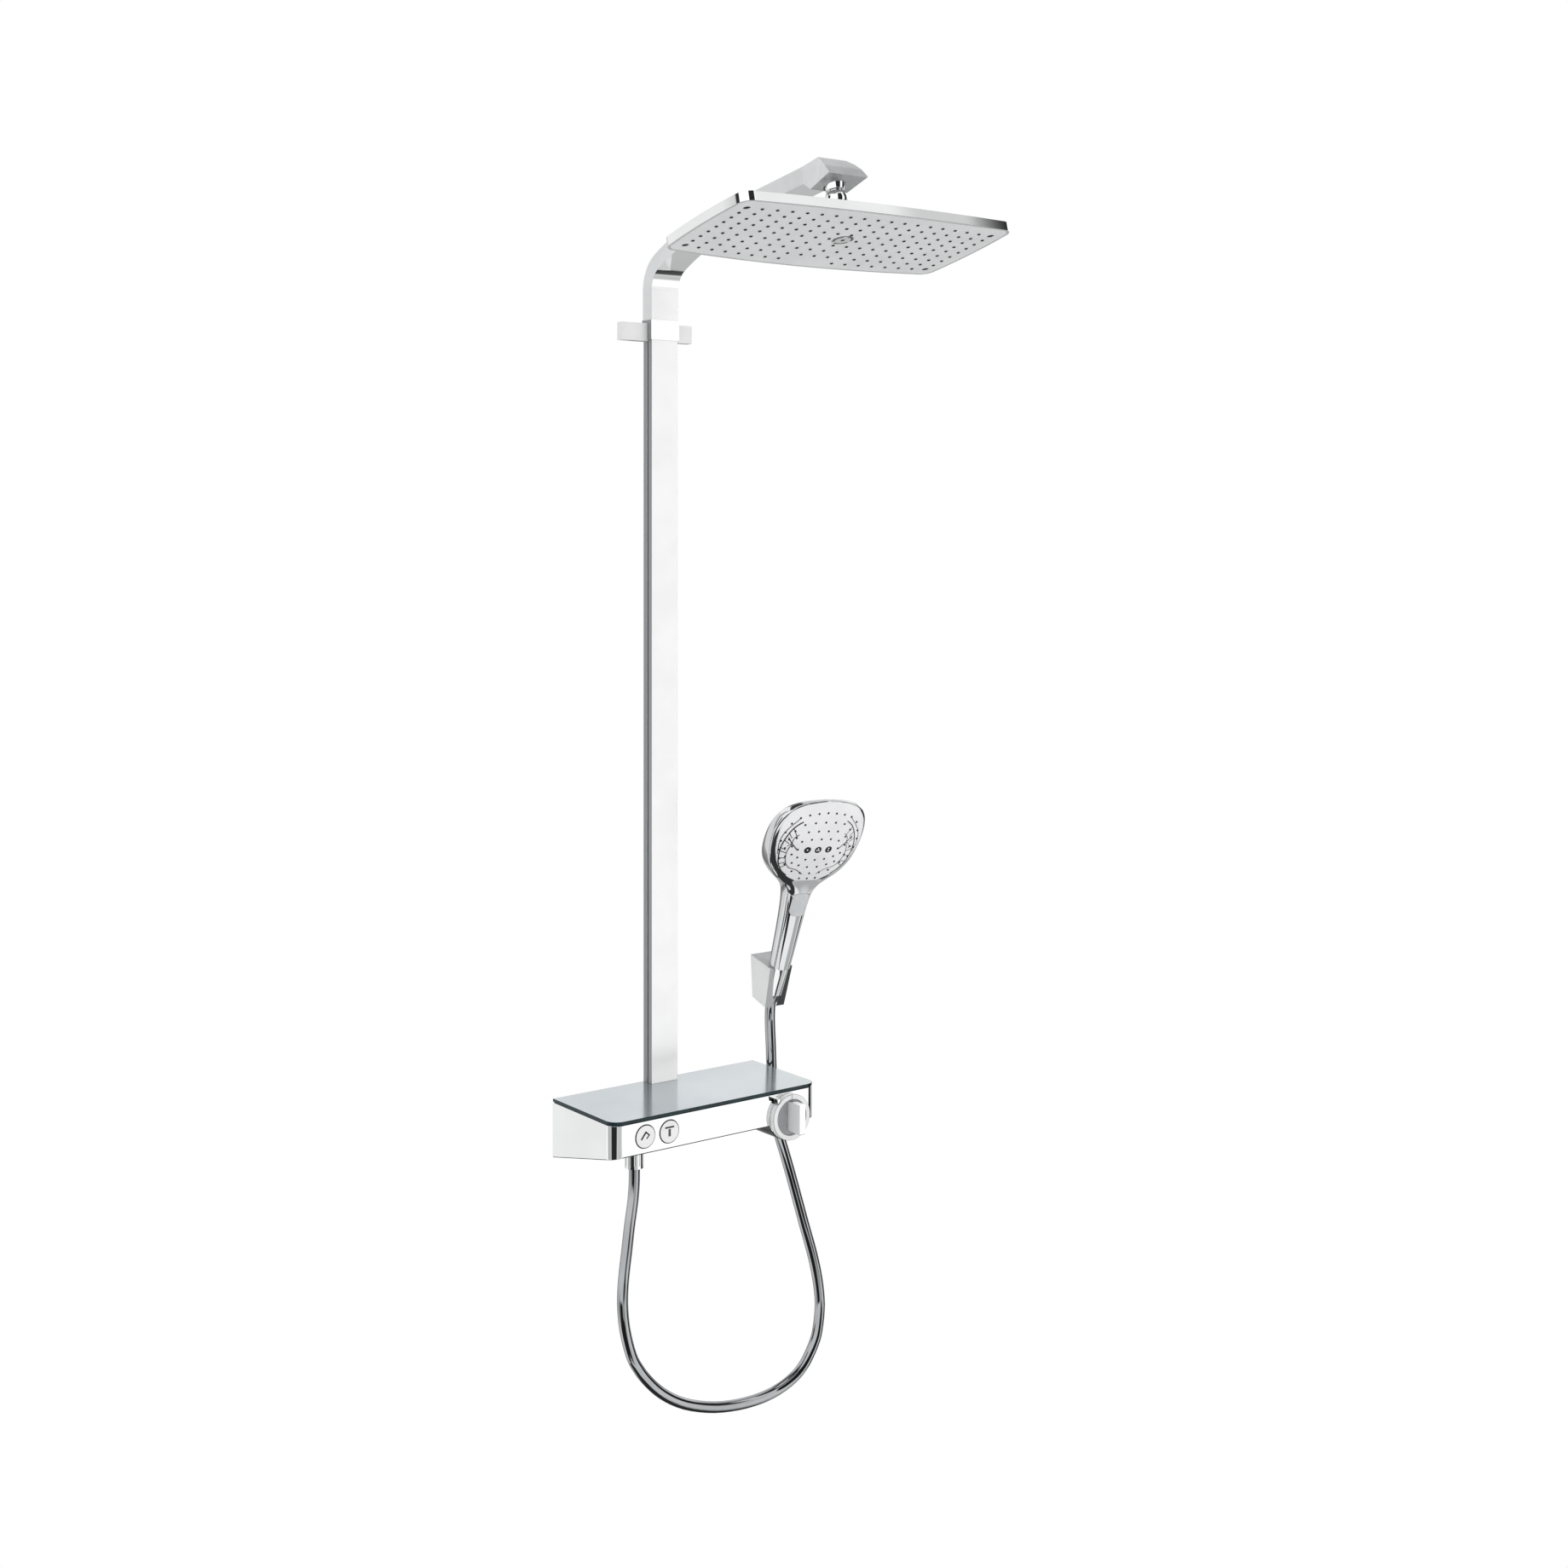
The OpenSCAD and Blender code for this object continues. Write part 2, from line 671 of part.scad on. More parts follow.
module riser_elbow() {
    color(brass) difference() {
        union() {
            bar(0, pipe_z, -col_y, 58, pipe_r);
            translate([0, col_y, pipe_z]) sphere(r = pipe_r);
            translate([0, col_y, pipe_z]) cylinder(r = pipe_r, h = pipe_foot - pipe_z);
            translate([0, col_y, pipe_foot - 1]) cylinder(r = pipe_bore, h = 15);
        }
        bar(0, pipe_z, -col_y - 3, 60, 3.2);
        translate([0, col_y, pipe_z - 3]) cylinder(r = 3.2, h = 60);
    }
}

module riser_column() {
    color(chrome) translate([0, col_y, shelf_z]) linear_extrude(arm_z - shelf_z) difference() {
        square([column_w, column_d], center = true);
        square([column_w - 2 * column_wall, column_d - 2 * column_wall], center = true);
        for (s = [-1, 1]) translate([s * column_w / 2, 0]) square([column_wall, groove_w], center = true);
    }
}

module riser_tube() {
    color(steel) translate([0, col_y, pipe_foot]) tube(pipe_r, pipe_bore, pipe_top - pipe_foot);
}

module bracket_cover() {
    color(chrome) difference() {
        union() {
            translate([-wing_left, -12, arm_z - 27]) cube([wing_left + wing_right, 12, 23]);
            translate([-sleeve_w / 2, -column_d - 2.6, arm_z - 25]) cube([sleeve_w, column_d + 2.6, 25]);
        }
        translate([-column_w / 2, col_y - column_d / 2, arm_z - 30]) cube([column_w, column_d, 40]);
        for (x = lug_x) translate([x - lug_w / 2 - 0.5, -7, arm_z - 24.5]) cube([lug_w + 1, 8, 18]);
        for (x = lug_x) translate([x, -3.5, arm_z - 28]) cylinder(r = 1.5, h = 5);
    }
}

module bracket_lugs() {
    color(steel) for (x = lug_x) difference() {
        translate([x - lug_w / 2, -7, arm_z - 24]) cube([lug_w, 7, 17]);
        bar(x, arm_z - 15.5, -1, 8, 2.75);
        bar(x, arm_z - 15.5, 4, 8, 5);
        translate([x, -3.5, arm_z - 25]) cylinder(r = 1.5, h = 5);
    }
}

module bracket_grub_screws() {
    color(dark) for (x = lug_x) translate([x, -3.5, arm_z - 27]) cylinder(r = 1.5, h = 7);
}

module column_joint() {
    color(steel) translate([0, col_y, 0]) difference() {
        union() {
            translate([0, 0, plug_z]) linear_extrude(arm_z - plug_z)
                square([column_w - 2 * column_wall, column_d - 2 * column_wall], center = true);
            translate([0, 0, arm_z - eps]) linear_extrude(30)
                square([arm_w - 2 * arm_wall, arm_t - 2 * arm_wall], center = true);
        }
        translate([0, 0, plug_z - 1]) cylinder(r = pipe_r, h = pipe_top - plug_z + 1);
        translate([0, 0, plug_z]) cylinder(r = 4, h = 60);
        translate([0, 0, arm_z + 16]) cylinder(r = 5.5, h = 20);
    }
}

module shower_arm() {
    color(chrome) difference() {
        arm_skin();
        arm_bar(arm_wall, arm_z - 1, nose_len + 4);
        arm_end() translate([0, -arm_t / 2, -nose_len - 5]) cylinder(r = 5.5, h = 15);
        arm_end() translate([0, -arm_t / 2, -nose_len]) cylinder(r = 3.5, h = nose_len + 3);
        ball_frame() translate([0, 0, 5]) cylinder(r = 13.1, h = 12.5);
        ball_frame() translate([0, 0, 15]) cylinder(r = 6, h = 20);
    }
}

module arm_tube() {
    p = [for (q = arm_line(arm_t / 2, arm_z + 16, nose_len - 10)) [0, q[0], q[1]]];
    last = len(p) - 1;
    color(steel) difference() {
        pipe(p, 5.5);
        pipe(concat([p[0] - [0, 0, 1]], [for (k = [1:last - 1]) p[k]], [p[last] + unit(p[last] - p[last - 1])]), 4);
    }
}

module ball_collar() {
    color(chrome) ball_frame() difference() {
        translate([0, 0, 9.6]) cylinder(r1 = 11.1, r2 = 12.9, h = 7.9);
        sphere(r = housing_r + gap);
        cylinder(r = 6, h = 30);
    }
}

module ball_stud() {
    color(steel) ball_frame() difference() {
        union() {
            sphere(r = ball_r);
            cylinder(r = 3.5, h = 16);
            translate([0, 0, 15]) cylinder(r = 6, h = 19);
        }
        translate([0, 0, -8]) cylinder(r = 2, h = 44);
    }
}

// ---- rain head ----

module seat_ring() {
    color(white) ball_frame() difference() {
        intersection() {
            sphere(r = ball_r + 1.2);
            translate([-10, -10, -5.5]) cube([20, 20, 10]);
        }
        sphere(r = ball_r + 0.05);
    }
}

module ball_housing() {
    color(chrome) ball_frame() difference() {
        union() {
            intersection() {
                sphere(r = housing_r);
                translate([-20, -20, -20]) cube([40, 40, 29.6]);
            }
            translate([0, 0, -head_drop + head_t]) cylinder(r = 12, h = head_drop - head_t - 5);
            translate([0, 0, -head_drop + head_t]) cylinder(r = 24, h = 3);
        }
        sphere(r = ball_r + 1.3);
        cylinder(r = 6.8, h = 20);
        translate([0, 0, -10.2]) cylinder(r = 6, h = 6);
        translate([0, 0, -head_drop]) cylinder(r = 3, h = head_drop);
    }
}

module ball_seal() {
    color(dark) ball_frame() translate([0, 0, -10.1]) tube(5.9, 3.4, 1.7);
}

module head_cover() {
    color(chrome) head_frame() difference() {
        head_plate(0, 0, head_t);
        head_plate(head_wall, -1, head_t + 1 - head_wall);
        cylinder(r = 3, h = 20);
        head_corners() translate([0, 0, head_t - 5]) cylinder(r = 2, h = 3.5);
    }
}

module spray_face() {
    color([0.8, 0.81, 0.82]) head_frame() difference() {
        head_plate(head_wall + 0.5, 0, 2);
        nozzle_grid(2.1, -1, 4);
        translate([0, 0, -1]) cylinder(r = 13, h = 4);
        head_corners() translate([0, 0, -1]) cylinder(r = 4.2, h = 4);
    }
}

module nozzle_mat() {
    color(grey) head_frame() difference() {
        union() {
            head_plate(head_wall, 2, 1.5);
            nozzle_grid(1.9, -0.8, 3);
        }
        translate([0, 0, 1]) cylinder(r = 13, h = 4);
        head_corners() translate([0, 0, 1]) cylinder(r = 2, h = 4);
    }
}

module flow_plate() {
    color(white) head_frame() difference() {
        union() {
            head_plate(head_wall, 3.5, 1.5);
            difference() {
                head_plate(head_wall, 3.5, head_t - head_wall - 3.5);
                head_plate(head_wall + 5, 3, head_t);
            }
            head_corners() translate([0, 0, 4]) cylinder(r = 4, h = head_t - head_wall - 4);
        }
        for (i = [-4:4]) for (j = [-1:1]) translate([i * 38, j * 41, 3]) cylinder(r = 3, h = 3);
        head_corners() translate([0, 0, 3]) cylinder(r = 2, h = head_t);
    }
}

module air_intake() {
    color(chrome) head_frame() difference() {
        translate([0, 0, -0.4]) cylinder(r = 13, h = 3.9);
        for (a = [25, 145, 265]) rotate([0, 0, a])
            rotate_extrude(angle = 90) translate([10.2, -1]) square([1.3, 6]);
        translate([0, 0, -1]) cylinder(r = 2.2, h = 6);
    }
}

module head_screws() {
    color(steel) head_frame() head_corners() difference() {
        union() {
            translate([0, 0, 0.4]) cylinder(r = 3.7, h = 1.6);
            translate([0, 0, 0.5]) cylinder(r = 2, h = head_t - 2);
        }
        translate([0, 0, -1]) cylinder(r = 1.4, h = 2.4, $fn = 6);
    }
}

// ---- controls ----

module thermostat_handle() {
    color(chrome) difference() {
        union() {
            bar(knob_x, knob_z, mixer_d + 1, mixer_d + 6, ring_r - 6.9);
            bar(knob_x, knob_z, mixer_d - 11.4, mixer_d + 2, 12);
            intersection() {
                translate([knob_x - blade_w / 2, -mixer_d - 30, knob_z - blade_low])
                    cube([blade_w, 25, blade_low + 25]);
                bar(knob_x, knob_z, mixer_d, mixer_d + 40, ring_r - 8);
            }
        }
        bar(knob_x, knob_z, mixer_d - 12, mixer_d + 5, 7);
    }
}

module handle_sleeve() {
    color(white) difference() {
        bar(knob_x, knob_z, mixer_d - 11.4, mixer_d + 5, 7);
        bar(knob_x, knob_z, mixer_d - 12, mixer_d + 4.5, 5.05);
    }
}

module safety_button() {
    color(chrome) bar(stop_x, stop_z, mixer_d - 6, mixer_d + ring_len + 1.5, 3.6);
}

module select_button_hand() {
    color(grey) select_button(hand_x);
}

module select_button_overhead() {
    color(grey) select_button(select_x);
}

// ---- handset ----

module handset_shell() {
    color(chrome) handset_frame() difference() {
        handset_skin(0, 0, len(sections) - 1);
        handset_skin(2.4, 1, len(sections) - 3);
        face_frame() face_plate(0, -8, 11);
        button_window(0);
        translate([0, 0, -1]) cylinder(r = 9.2, h = 32);
    }
}

module handset_face() {
    color([0.88, 0.88, 0.89]) handset_frame() face_frame() intersection() {
        difference() {
            face_plate(0, -face_rise - 1, face_rise + 3.4);
            face_jets(1.5, 2, 4);
            for (x = icons) translate([x, 4, icon_z]) rotate([90, 0, 0]) cylinder(r = 5, h = 14);
        }
        translate([0, 0, 3]) rotate([90, 0, 0]) rotate_extrude() polygon(concat(
            [[0, -4], [72, -4]],
            [for (r = [72:-6:0]) [r, -crown(r, 3)]]
        ));
    }
}

module handset_nozzles() {
    color(grey) handset_frame() face_frame() union() {
        face_plate(3, 2.4, 0.6);
        face_jets(1.3, 0.5, 3);
        for (x = icons) let (y = crown(x, icon_z) + 0.2)
            translate([x, 3, icon_z]) rotate([90, 0, 0]) cylinder(r = 4.7, h = 3 - y);
    }
}

module handset_button() {
    color(grey) handset_frame() intersection() {
        difference() {
            handset_skin(-0.5, 0, 8);
            handset_skin(1.6, 0, 8);
        }
        button_window(gap + 0.1);
    }
}

module handset_nipple() {
    color(brass) handset_frame() translate([0, 0, -14]) tube(9.2, 5, 44);
}

module handset_filter() {
    color(dark) handset_frame() translate([0, 0, -16]) tube(9.2, 4, 2);
}

module hose_cone_nut() {
    color(chrome) handset_frame() difference() {
        cone(0, -cone_len + 0.6, cone_top);
        translate([0, 0, -16]) cylinder(r = 9.2, h = 30);
        translate([0, 0, -cone_len - 1]) cylinder(r = 4, h = 30);
    }
}

// ---- hose ----

module hose_outlet_nut() {
    color(chrome) translate([port_x, -port_y, -44]) difference() {
        cylinder(r = 11.6, h = 22);
        translate([0, 0, 11]) cylinder(r = 10.3, h = 12);
        translate([0, 0, -1]) cylinder(r = 4, h = 30);
        for (k = [0:11]) rotate([0, 0, 30 * k]) translate([12.4, 0, 4]) cylinder(r = 1.2, h = 14);
    }
}

module outlet_washer() {
    color(dark) translate([port_x, -port_y, -33]) tube(10.3, 4, 1);
}

module shower_hose() {
    p = concat(smooth(route), [hose_end]);
    color(chrome) skin([for (i = [0:len(p) - 1]) ring_points(p, i, hose_r, 10)], 10);
}

// ---- holder ----

module holder_shape() {
    intersection() {
        translate([holder_x - 30, 0, 0]) rotate([90, 0, 90]) linear_extrude(60) polygon([
            [0, holder_z - 44],
            [0, holder_z + 13],
            [-seat_y - 4.5, holder_z + 0.5],
            [-seat_y + 10.5, holder_z - 54]
        ]);
        translate([holder_x, 0, holder_z + 13]) rotate([90, 0, 0]) linear_extrude(60) polygon([
            [-holder_w / 2, 0],
            [holder_w / 2, 0],
            [holder_w / 2 - 3.5, -70],
            [-holder_w / 2 + 3.5, -70]
        ]);
    }
}

module holder_body() {
    color(chrome) difference() {
        holder_shape();
        translate([holder_x - 12, -8, holder_z - 37]) cube([24, 9, 44]);
        handset_frame() cone(1.7, -cone_len, 25);
        handset_frame() translate([0, 0, -cone_len - 30]) cylinder(r = hose_r + 1.8, h = 31);
        translate([holder_x - 7.8, -seat_y - 40, holder_z - 80]) rotate([lean, 0, 0]) cube([15.6, 45, 140]);
    }
}

module holder_plate() {
    color(steel) difference() {
        translate([holder_x - 12, -3, holder_z - 37]) cube([24, 3, 44]);
        for (s = [-1, 1]) bar(holder_x, holder_z - 15 + s * holder_screw / 2, -1, 4, 2.5);
    }
}

module holder_liner() {
    color(grey) intersection() {
        holder_shape();
        difference() {
            handset_frame() cone(1.7, -cone_len, 25);
            handset_frame() cone(0.5, -cone_len - 1, 26);
            translate([holder_x - 8.6, -seat_y - 40, holder_z - 80]) rotate([lean, 0, 0]) cube([17.2, 45, 140]);
        }
    }
}

mixer_body();
glass_shelf();
shelf_gasket();
wall_plate();
waterway_block();
inlet_union_left();
inlet_union_right();
union_nut_left();
union_nut_right();
inlet_washers();
check_valves();
thermostat_cartridge();
select_valve_hand();
select_valve_overhead();
scale_ring();
hose_outlet();
body_grub_screws();
riser_elbow();
riser_column();
riser_tube();
bracket_cover();
bracket_lugs();
bracket_grub_screws();
column_joint();
shower_arm();
arm_tube();
ball_collar();
ball_stud();
seat_ring();
ball_housing();
ball_seal();
head_cover();
spray_face();
nozzle_mat();
flow_plate();
air_intake();
head_screws();
thermostat_handle();
handle_sleeve();
safety_button();
select_button_hand();
select_button_overhead();
handset_shell();
handset_face();
handset_nozzles();
handset_button();
handset_nipple();
handset_filter();
hose_cone_nut();
hose_outlet_nut();
shower_hose();
outlet_washer();
holder_body();
holder_plate();
holder_liner();
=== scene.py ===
import bpy, bmesh, json, math
from mathutils import Vector, Matrix


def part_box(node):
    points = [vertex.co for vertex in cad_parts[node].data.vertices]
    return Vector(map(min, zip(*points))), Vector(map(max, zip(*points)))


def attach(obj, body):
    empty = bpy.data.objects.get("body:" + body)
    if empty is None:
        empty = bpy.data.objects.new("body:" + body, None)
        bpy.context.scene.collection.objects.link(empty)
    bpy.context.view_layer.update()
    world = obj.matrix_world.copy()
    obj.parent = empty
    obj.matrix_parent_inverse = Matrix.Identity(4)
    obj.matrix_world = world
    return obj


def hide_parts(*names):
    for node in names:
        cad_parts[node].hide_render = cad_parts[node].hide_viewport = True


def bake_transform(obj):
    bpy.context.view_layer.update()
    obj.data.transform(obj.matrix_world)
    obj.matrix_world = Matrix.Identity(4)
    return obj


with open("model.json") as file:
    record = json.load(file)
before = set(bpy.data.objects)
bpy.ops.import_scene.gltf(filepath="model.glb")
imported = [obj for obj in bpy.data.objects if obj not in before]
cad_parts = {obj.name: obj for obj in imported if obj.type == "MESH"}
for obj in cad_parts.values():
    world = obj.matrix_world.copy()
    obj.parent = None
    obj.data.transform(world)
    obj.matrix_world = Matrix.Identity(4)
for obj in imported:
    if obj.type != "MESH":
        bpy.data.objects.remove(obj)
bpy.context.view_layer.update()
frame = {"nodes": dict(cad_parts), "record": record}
scene = bpy.context.scene
mm = 0.001


def srgb(code):  # a hex colour as linear values
    parts = [int(code[i:i + 2], 16) / 255 for i in (1, 3, 5)]
    return tuple(c / 12.92 if c < 0.04045 else ((c + 0.055) / 1.055) ** 2.4 for c in parts) + (1,)


def addNode(tree, kind, settings=None, links=None):
    node = tree.nodes.new(kind)
    for key, value in (settings or {}).items():
        if isinstance(key, int) or key in node.inputs:
            node.inputs[key].default_value = value
        else:
            setattr(node, key, value)
    for key, socket in (links or {}).items():
        tree.links.new(socket, node.inputs[key])
    return node


def fillRamp(node, stops):
    ramp = node.color_ramp
    while len(ramp.elements) > 1:
        ramp.elements.remove(ramp.elements[-1])
    ramp.elements[0].position, ramp.elements[0].color = stops[0]
    for place, colour in stops[1:]:
        ramp.elements.new(place).color = colour
    return node


# the camera stands to the left and looks level, so that upright lines stay upright
view = {"spot": (-1.488, -2.233, 0.752), "turn": -37.22, "lens": 47.48, "film": 36, "shift": -0.1628,
        "far": 50}
cameraData = bpy.data.cameras.new("camera")
cameraData.lens, cameraData.sensor_width, cameraData.shift_y = view["lens"], view["film"], view["shift"]
cameraData.clip_end = view["far"]
camera = bpy.data.objects.new("camera", cameraData)
camera.location = view["spot"]
camera.rotation_euler = (math.radians(90), 0, math.radians(view["turn"]))
scene.collection.objects.link(camera)
scene.camera = camera
scene.view_settings.view_transform = "Standard"

# the room as polished metal sees it: white walls with dark and grey studio flags, later ones in front
studio = {
    "plain": 0.95, "mirrored": 1.15, "behind": 1.0,
    # each flag's two ends round the object (0 at its front, positive to the viewer's right), its bottom and
    # top, its brightness and its soft edge, all but the brightness in degrees
    "flags": [
        ((98, 400), (-60, 6), 0.2, 8),  # from the right side to the rear, low
        ((98, 400), (32, 60), 0.2, 8),  # the same, high
        ((-400, -157), (-60, 6), 0.3, 8),  # the rear, low
        ((-400, 400), (-120, -53), 0.04, 3),  # the floor underneath, all round
        ((20, 100), (-53, -38), 0.5, 8),  # the floor on the right
        ((100, 165), (-50, -12), 0.45, 6),  # rear right, low
        ((-400, 400), (57, 73), 0.05, 3),  # a dark ring near the ceiling
        ((110, 150), (25, 60), 0.7, 6),  # rear right, high, light
        ((-139, -104), (0, 25), 0.03, 2),  # rear left
        ((32, 47), (20, 38), 0.8, 4),  # front right, high, light
        ((47, 62), (20, 38), 0.58, 4),  # beside it, darker
        ((54, 92), (-35, 45), 0.03, 3),  # the right side
        ((-168, -134), (-60, 30), 0.78, 8),  # rear left, light
        ((-98, -50), (-52, -18), 0.03, 2),  # front left, low
        ((-24, 26), (-12, 50), 0.02, 3),  # straight in front
        ((-122, -80), (-24, -12), 0.42, 12),  # the left side, below the middle, grey
        ((-34, 8), (-24, -12), 0.45, 14),  # in front, below the middle, grey
        ((-82, -34), (-24, -12), 0.02, 3),  # front left, below the middle
        ((-58, -8), (-40, -18.8), 0.02, 2),  # and under it
    ],
}


def edgeMask(tree, angle, at, soft, opening):
    # 0 to 1 across a soft edge, or 1 to 0 where the flag closes
    ends = {"From Min": math.radians(at - soft / 2), "From Max": math.radians(at + soft / 2),
            "To Min": 0.0 if opening else 1.0, "To Max": 1.0 if opening else 0.0,
            "interpolation_type": "SMOOTHSTEP"}
    return addNode(tree, "ShaderNodeMapRange", ends, {"Value": angle})


def hangFlags(tree):
    coords = addNode(tree, "ShaderNodeTexCoord")
    axes = addNode(tree, "ShaderNodeSeparateXYZ", links={0: coords.outputs["Generated"]})
    back = addNode(tree, "ShaderNodeMath", {"operation": "MULTIPLY", 1: -1.0}, {0: axes.outputs["Y"]})
    turn = addNode(tree, "ShaderNodeMath", {"operation": "ARCTAN2"},
                   {0: axes.outputs["X"], 1: back.outputs[0]})
    rise = addNode(tree, "ShaderNodeMath", {"operation": "ARCSINE"}, {0: axes.outputs["Z"]})
    light = addNode(tree, "ShaderNodeValue").outputs[0]
    light.default_value = 1.0
    for (left, right), (low, high), bright, soft in studio["flags"]:
        masks = [edgeMask(tree, turn.outputs[0], left, soft, True),
                 edgeMask(tree, turn.outputs[0], right, soft, False),
                 edgeMask(tree, rise.outputs[0], low, soft, True),
                 edgeMask(tree, rise.outputs[0], high, soft, False)]
        cover = masks[0].outputs[0]
        for mask in masks[1:]:
            both = addNode(tree, "ShaderNodeMath", {"operation": "MULTIPLY"}, {0: cover, 1: mask.outputs[0]})
            cover = both.outputs[0]
        light = addNode(tree, "ShaderNodeMix", {3: bright}, {0: cover, 2: light}).outputs[0]
    return light


world = bpy.data.worlds.new("studio")
scene.world = world
world.use_nodes = True
sky = world.node_tree
sky.nodes.clear()
ray = addNode(sky, "ShaderNodeLightPath")
mirrored = addNode(sky, "ShaderNodeBackground", {"Strength": studio["mirrored"]}, {"Color": hangFlags(sky)})
plain = addNode(sky, "ShaderNodeBackground", {"Color": (1, 1, 1, 1), "Strength": studio["plain"]})
white = addNode(sky, "ShaderNodeBackground", {"Color": (1, 1, 1, 1), "Strength": studio["behind"]})
lit = addNode(sky, "ShaderNodeMixShader", links={
    0: ray.outputs["Is Glossy Ray"], 1: plain.outputs[0], 2: mirrored.outputs[0]})
seen = addNode(sky, "ShaderNodeMath", {"operation": "MAXIMUM"}, {
    0: ray.outputs["Is Camera Ray"], 1: ray.outputs["Is Transmission Ray"]})
final = addNode(sky, "ShaderNodeMixShader", links={
    0: seen.outputs[0], 1: lit.outputs[0], 2: white.outputs[0]})
addNode(sky, "ShaderNodeOutputWorld", links={"Surface": final.outputs[0]})

softKey = {"spot": (1.2, -2.4, 2.6), "aim": (0, -0.1, 0.5), "size": 2.0, "power": 14}
lamp = bpy.data.lights.new("softKey", "AREA")
lamp.shape, lamp.energy = "RECTANGLE", softKey["power"]
lamp.size, lamp.size_y = softKey["size"], softKey["size"]
lampObject = bpy.data.objects.new("softKey", lamp)
lampObject.location = softKey["spot"]
lampAim = Vector(softKey["aim"]) - lampObject.location
lampObject.rotation_euler = lampAim.to_track_quat("-Z", "Y").to_euler()
lampObject.visible_glossy = False
scene.collection.objects.link(lampObject)

studioFloor = {"half": 12, "height": -1.1, "paper": "#e4e4e4"}
floorMesh = bpy.data.meshes.new("floor")
bm = bmesh.new()
bmesh.ops.create_grid(bm, x_segments=1, y_segments=1, size=studioFloor["half"])
bmesh.ops.translate(bm, verts=bm.verts, vec=(0, 0, studioFloor["height"]))
bm.to_mesh(floorMesh)
bm.free()
floor = bpy.data.objects.new("floor", floorMesh)
scene.collection.objects.link(floor)
floor.visible_glossy = False
# matt paper: white where the camera sees it, a plain pale grey for the light it returns
paper = bpy.data.materials.new("mattStudioPaper")
paper.use_nodes = True
paper.node_tree.nodes.clear()
ray = addNode(paper.node_tree, "ShaderNodeLightPath")
matte = addNode(paper.node_tree, "ShaderNodeBsdfDiffuse", {"Color": srgb(studioFloor["paper"])})
glow = addNode(paper.node_tree, "ShaderNodeEmission", {"Color": (1, 1, 1, 1), "Strength": 1.0})
both = addNode(paper.node_tree, "ShaderNodeMixShader", links={
    0: ray.outputs["Is Camera Ray"], 1: matte.outputs[0], 2: glow.outputs[0]})
addNode(paper.node_tree, "ShaderNodeOutputMaterial", links={"Surface": both.outputs[0]})
floorMesh.materials.append(paper)
print("camera, light and floor are set")


def makeMaterial(name, look):
    # every finish has two close tones in soft patches and a grain in its roughness, and some have a fine bump;
    # the grain is drawn coarser than the real one, so that it shows
    mat = bpy.data.materials.new(name)
    mat.use_nodes = True
    tree = mat.node_tree
    tree.nodes.clear()
    out = addNode(tree, "ShaderNodeOutputMaterial")
    base = {"Metallic": look.get("metallic", 0.0), "Roughness": look["rough"][0]}
    for key in ("Coat Weight", "Coat Roughness", "Specular IOR Level"):
        if key in look:
            base[key] = look[key]
    shader = addNode(tree, "ShaderNodeBsdfPrincipled", base)
    tree.links.new(shader.outputs[0], out.inputs["Surface"])
    place = addNode(tree, "ShaderNodeTexCoord")
    stretch = addNode(tree, "ShaderNodeMapping", {"Scale": look.get("stretch", (1, 1, 1))},
                      {"Vector": place.outputs["Object"]})
    patches = addNode(tree, "ShaderNodeTexNoise", {"Scale": 1000 / look["patch"], "Detail": 2.0},
                      {"Vector": stretch.outputs[0]})
    tones = fillRamp(addNode(tree, "ShaderNodeValToRGB", links={0: patches.outputs[0]}),
                     [(0.35, srgb(look["tones"][0])), (0.65, srgb(look["tones"][1]))])
    tree.links.new(tones.outputs[0], shader.inputs["Base Color"])
    grain = addNode(tree, "ShaderNodeTexNoise", {"Scale": 1000 / look["grain"], "Detail": 3.0},
                    {"Vector": stretch.outputs[0]})
    rough = addNode(tree, "ShaderNodeMapRange", {"To Min": look["rough"][0], "To Max": look["rough"][1]},
                    {"Value": grain.outputs[0]})
    tree.links.new(rough.outputs[0], shader.inputs["Roughness"])
    if look.get("bump"):
        bump = addNode(tree, "ShaderNodeBump", {"Strength": 1.0, "Distance": look["bump"] * mm},
                       {"Height": grain.outputs[0]})
        tree.links.new(bump.outputs[0], shader.inputs["Normal"])
    return mat


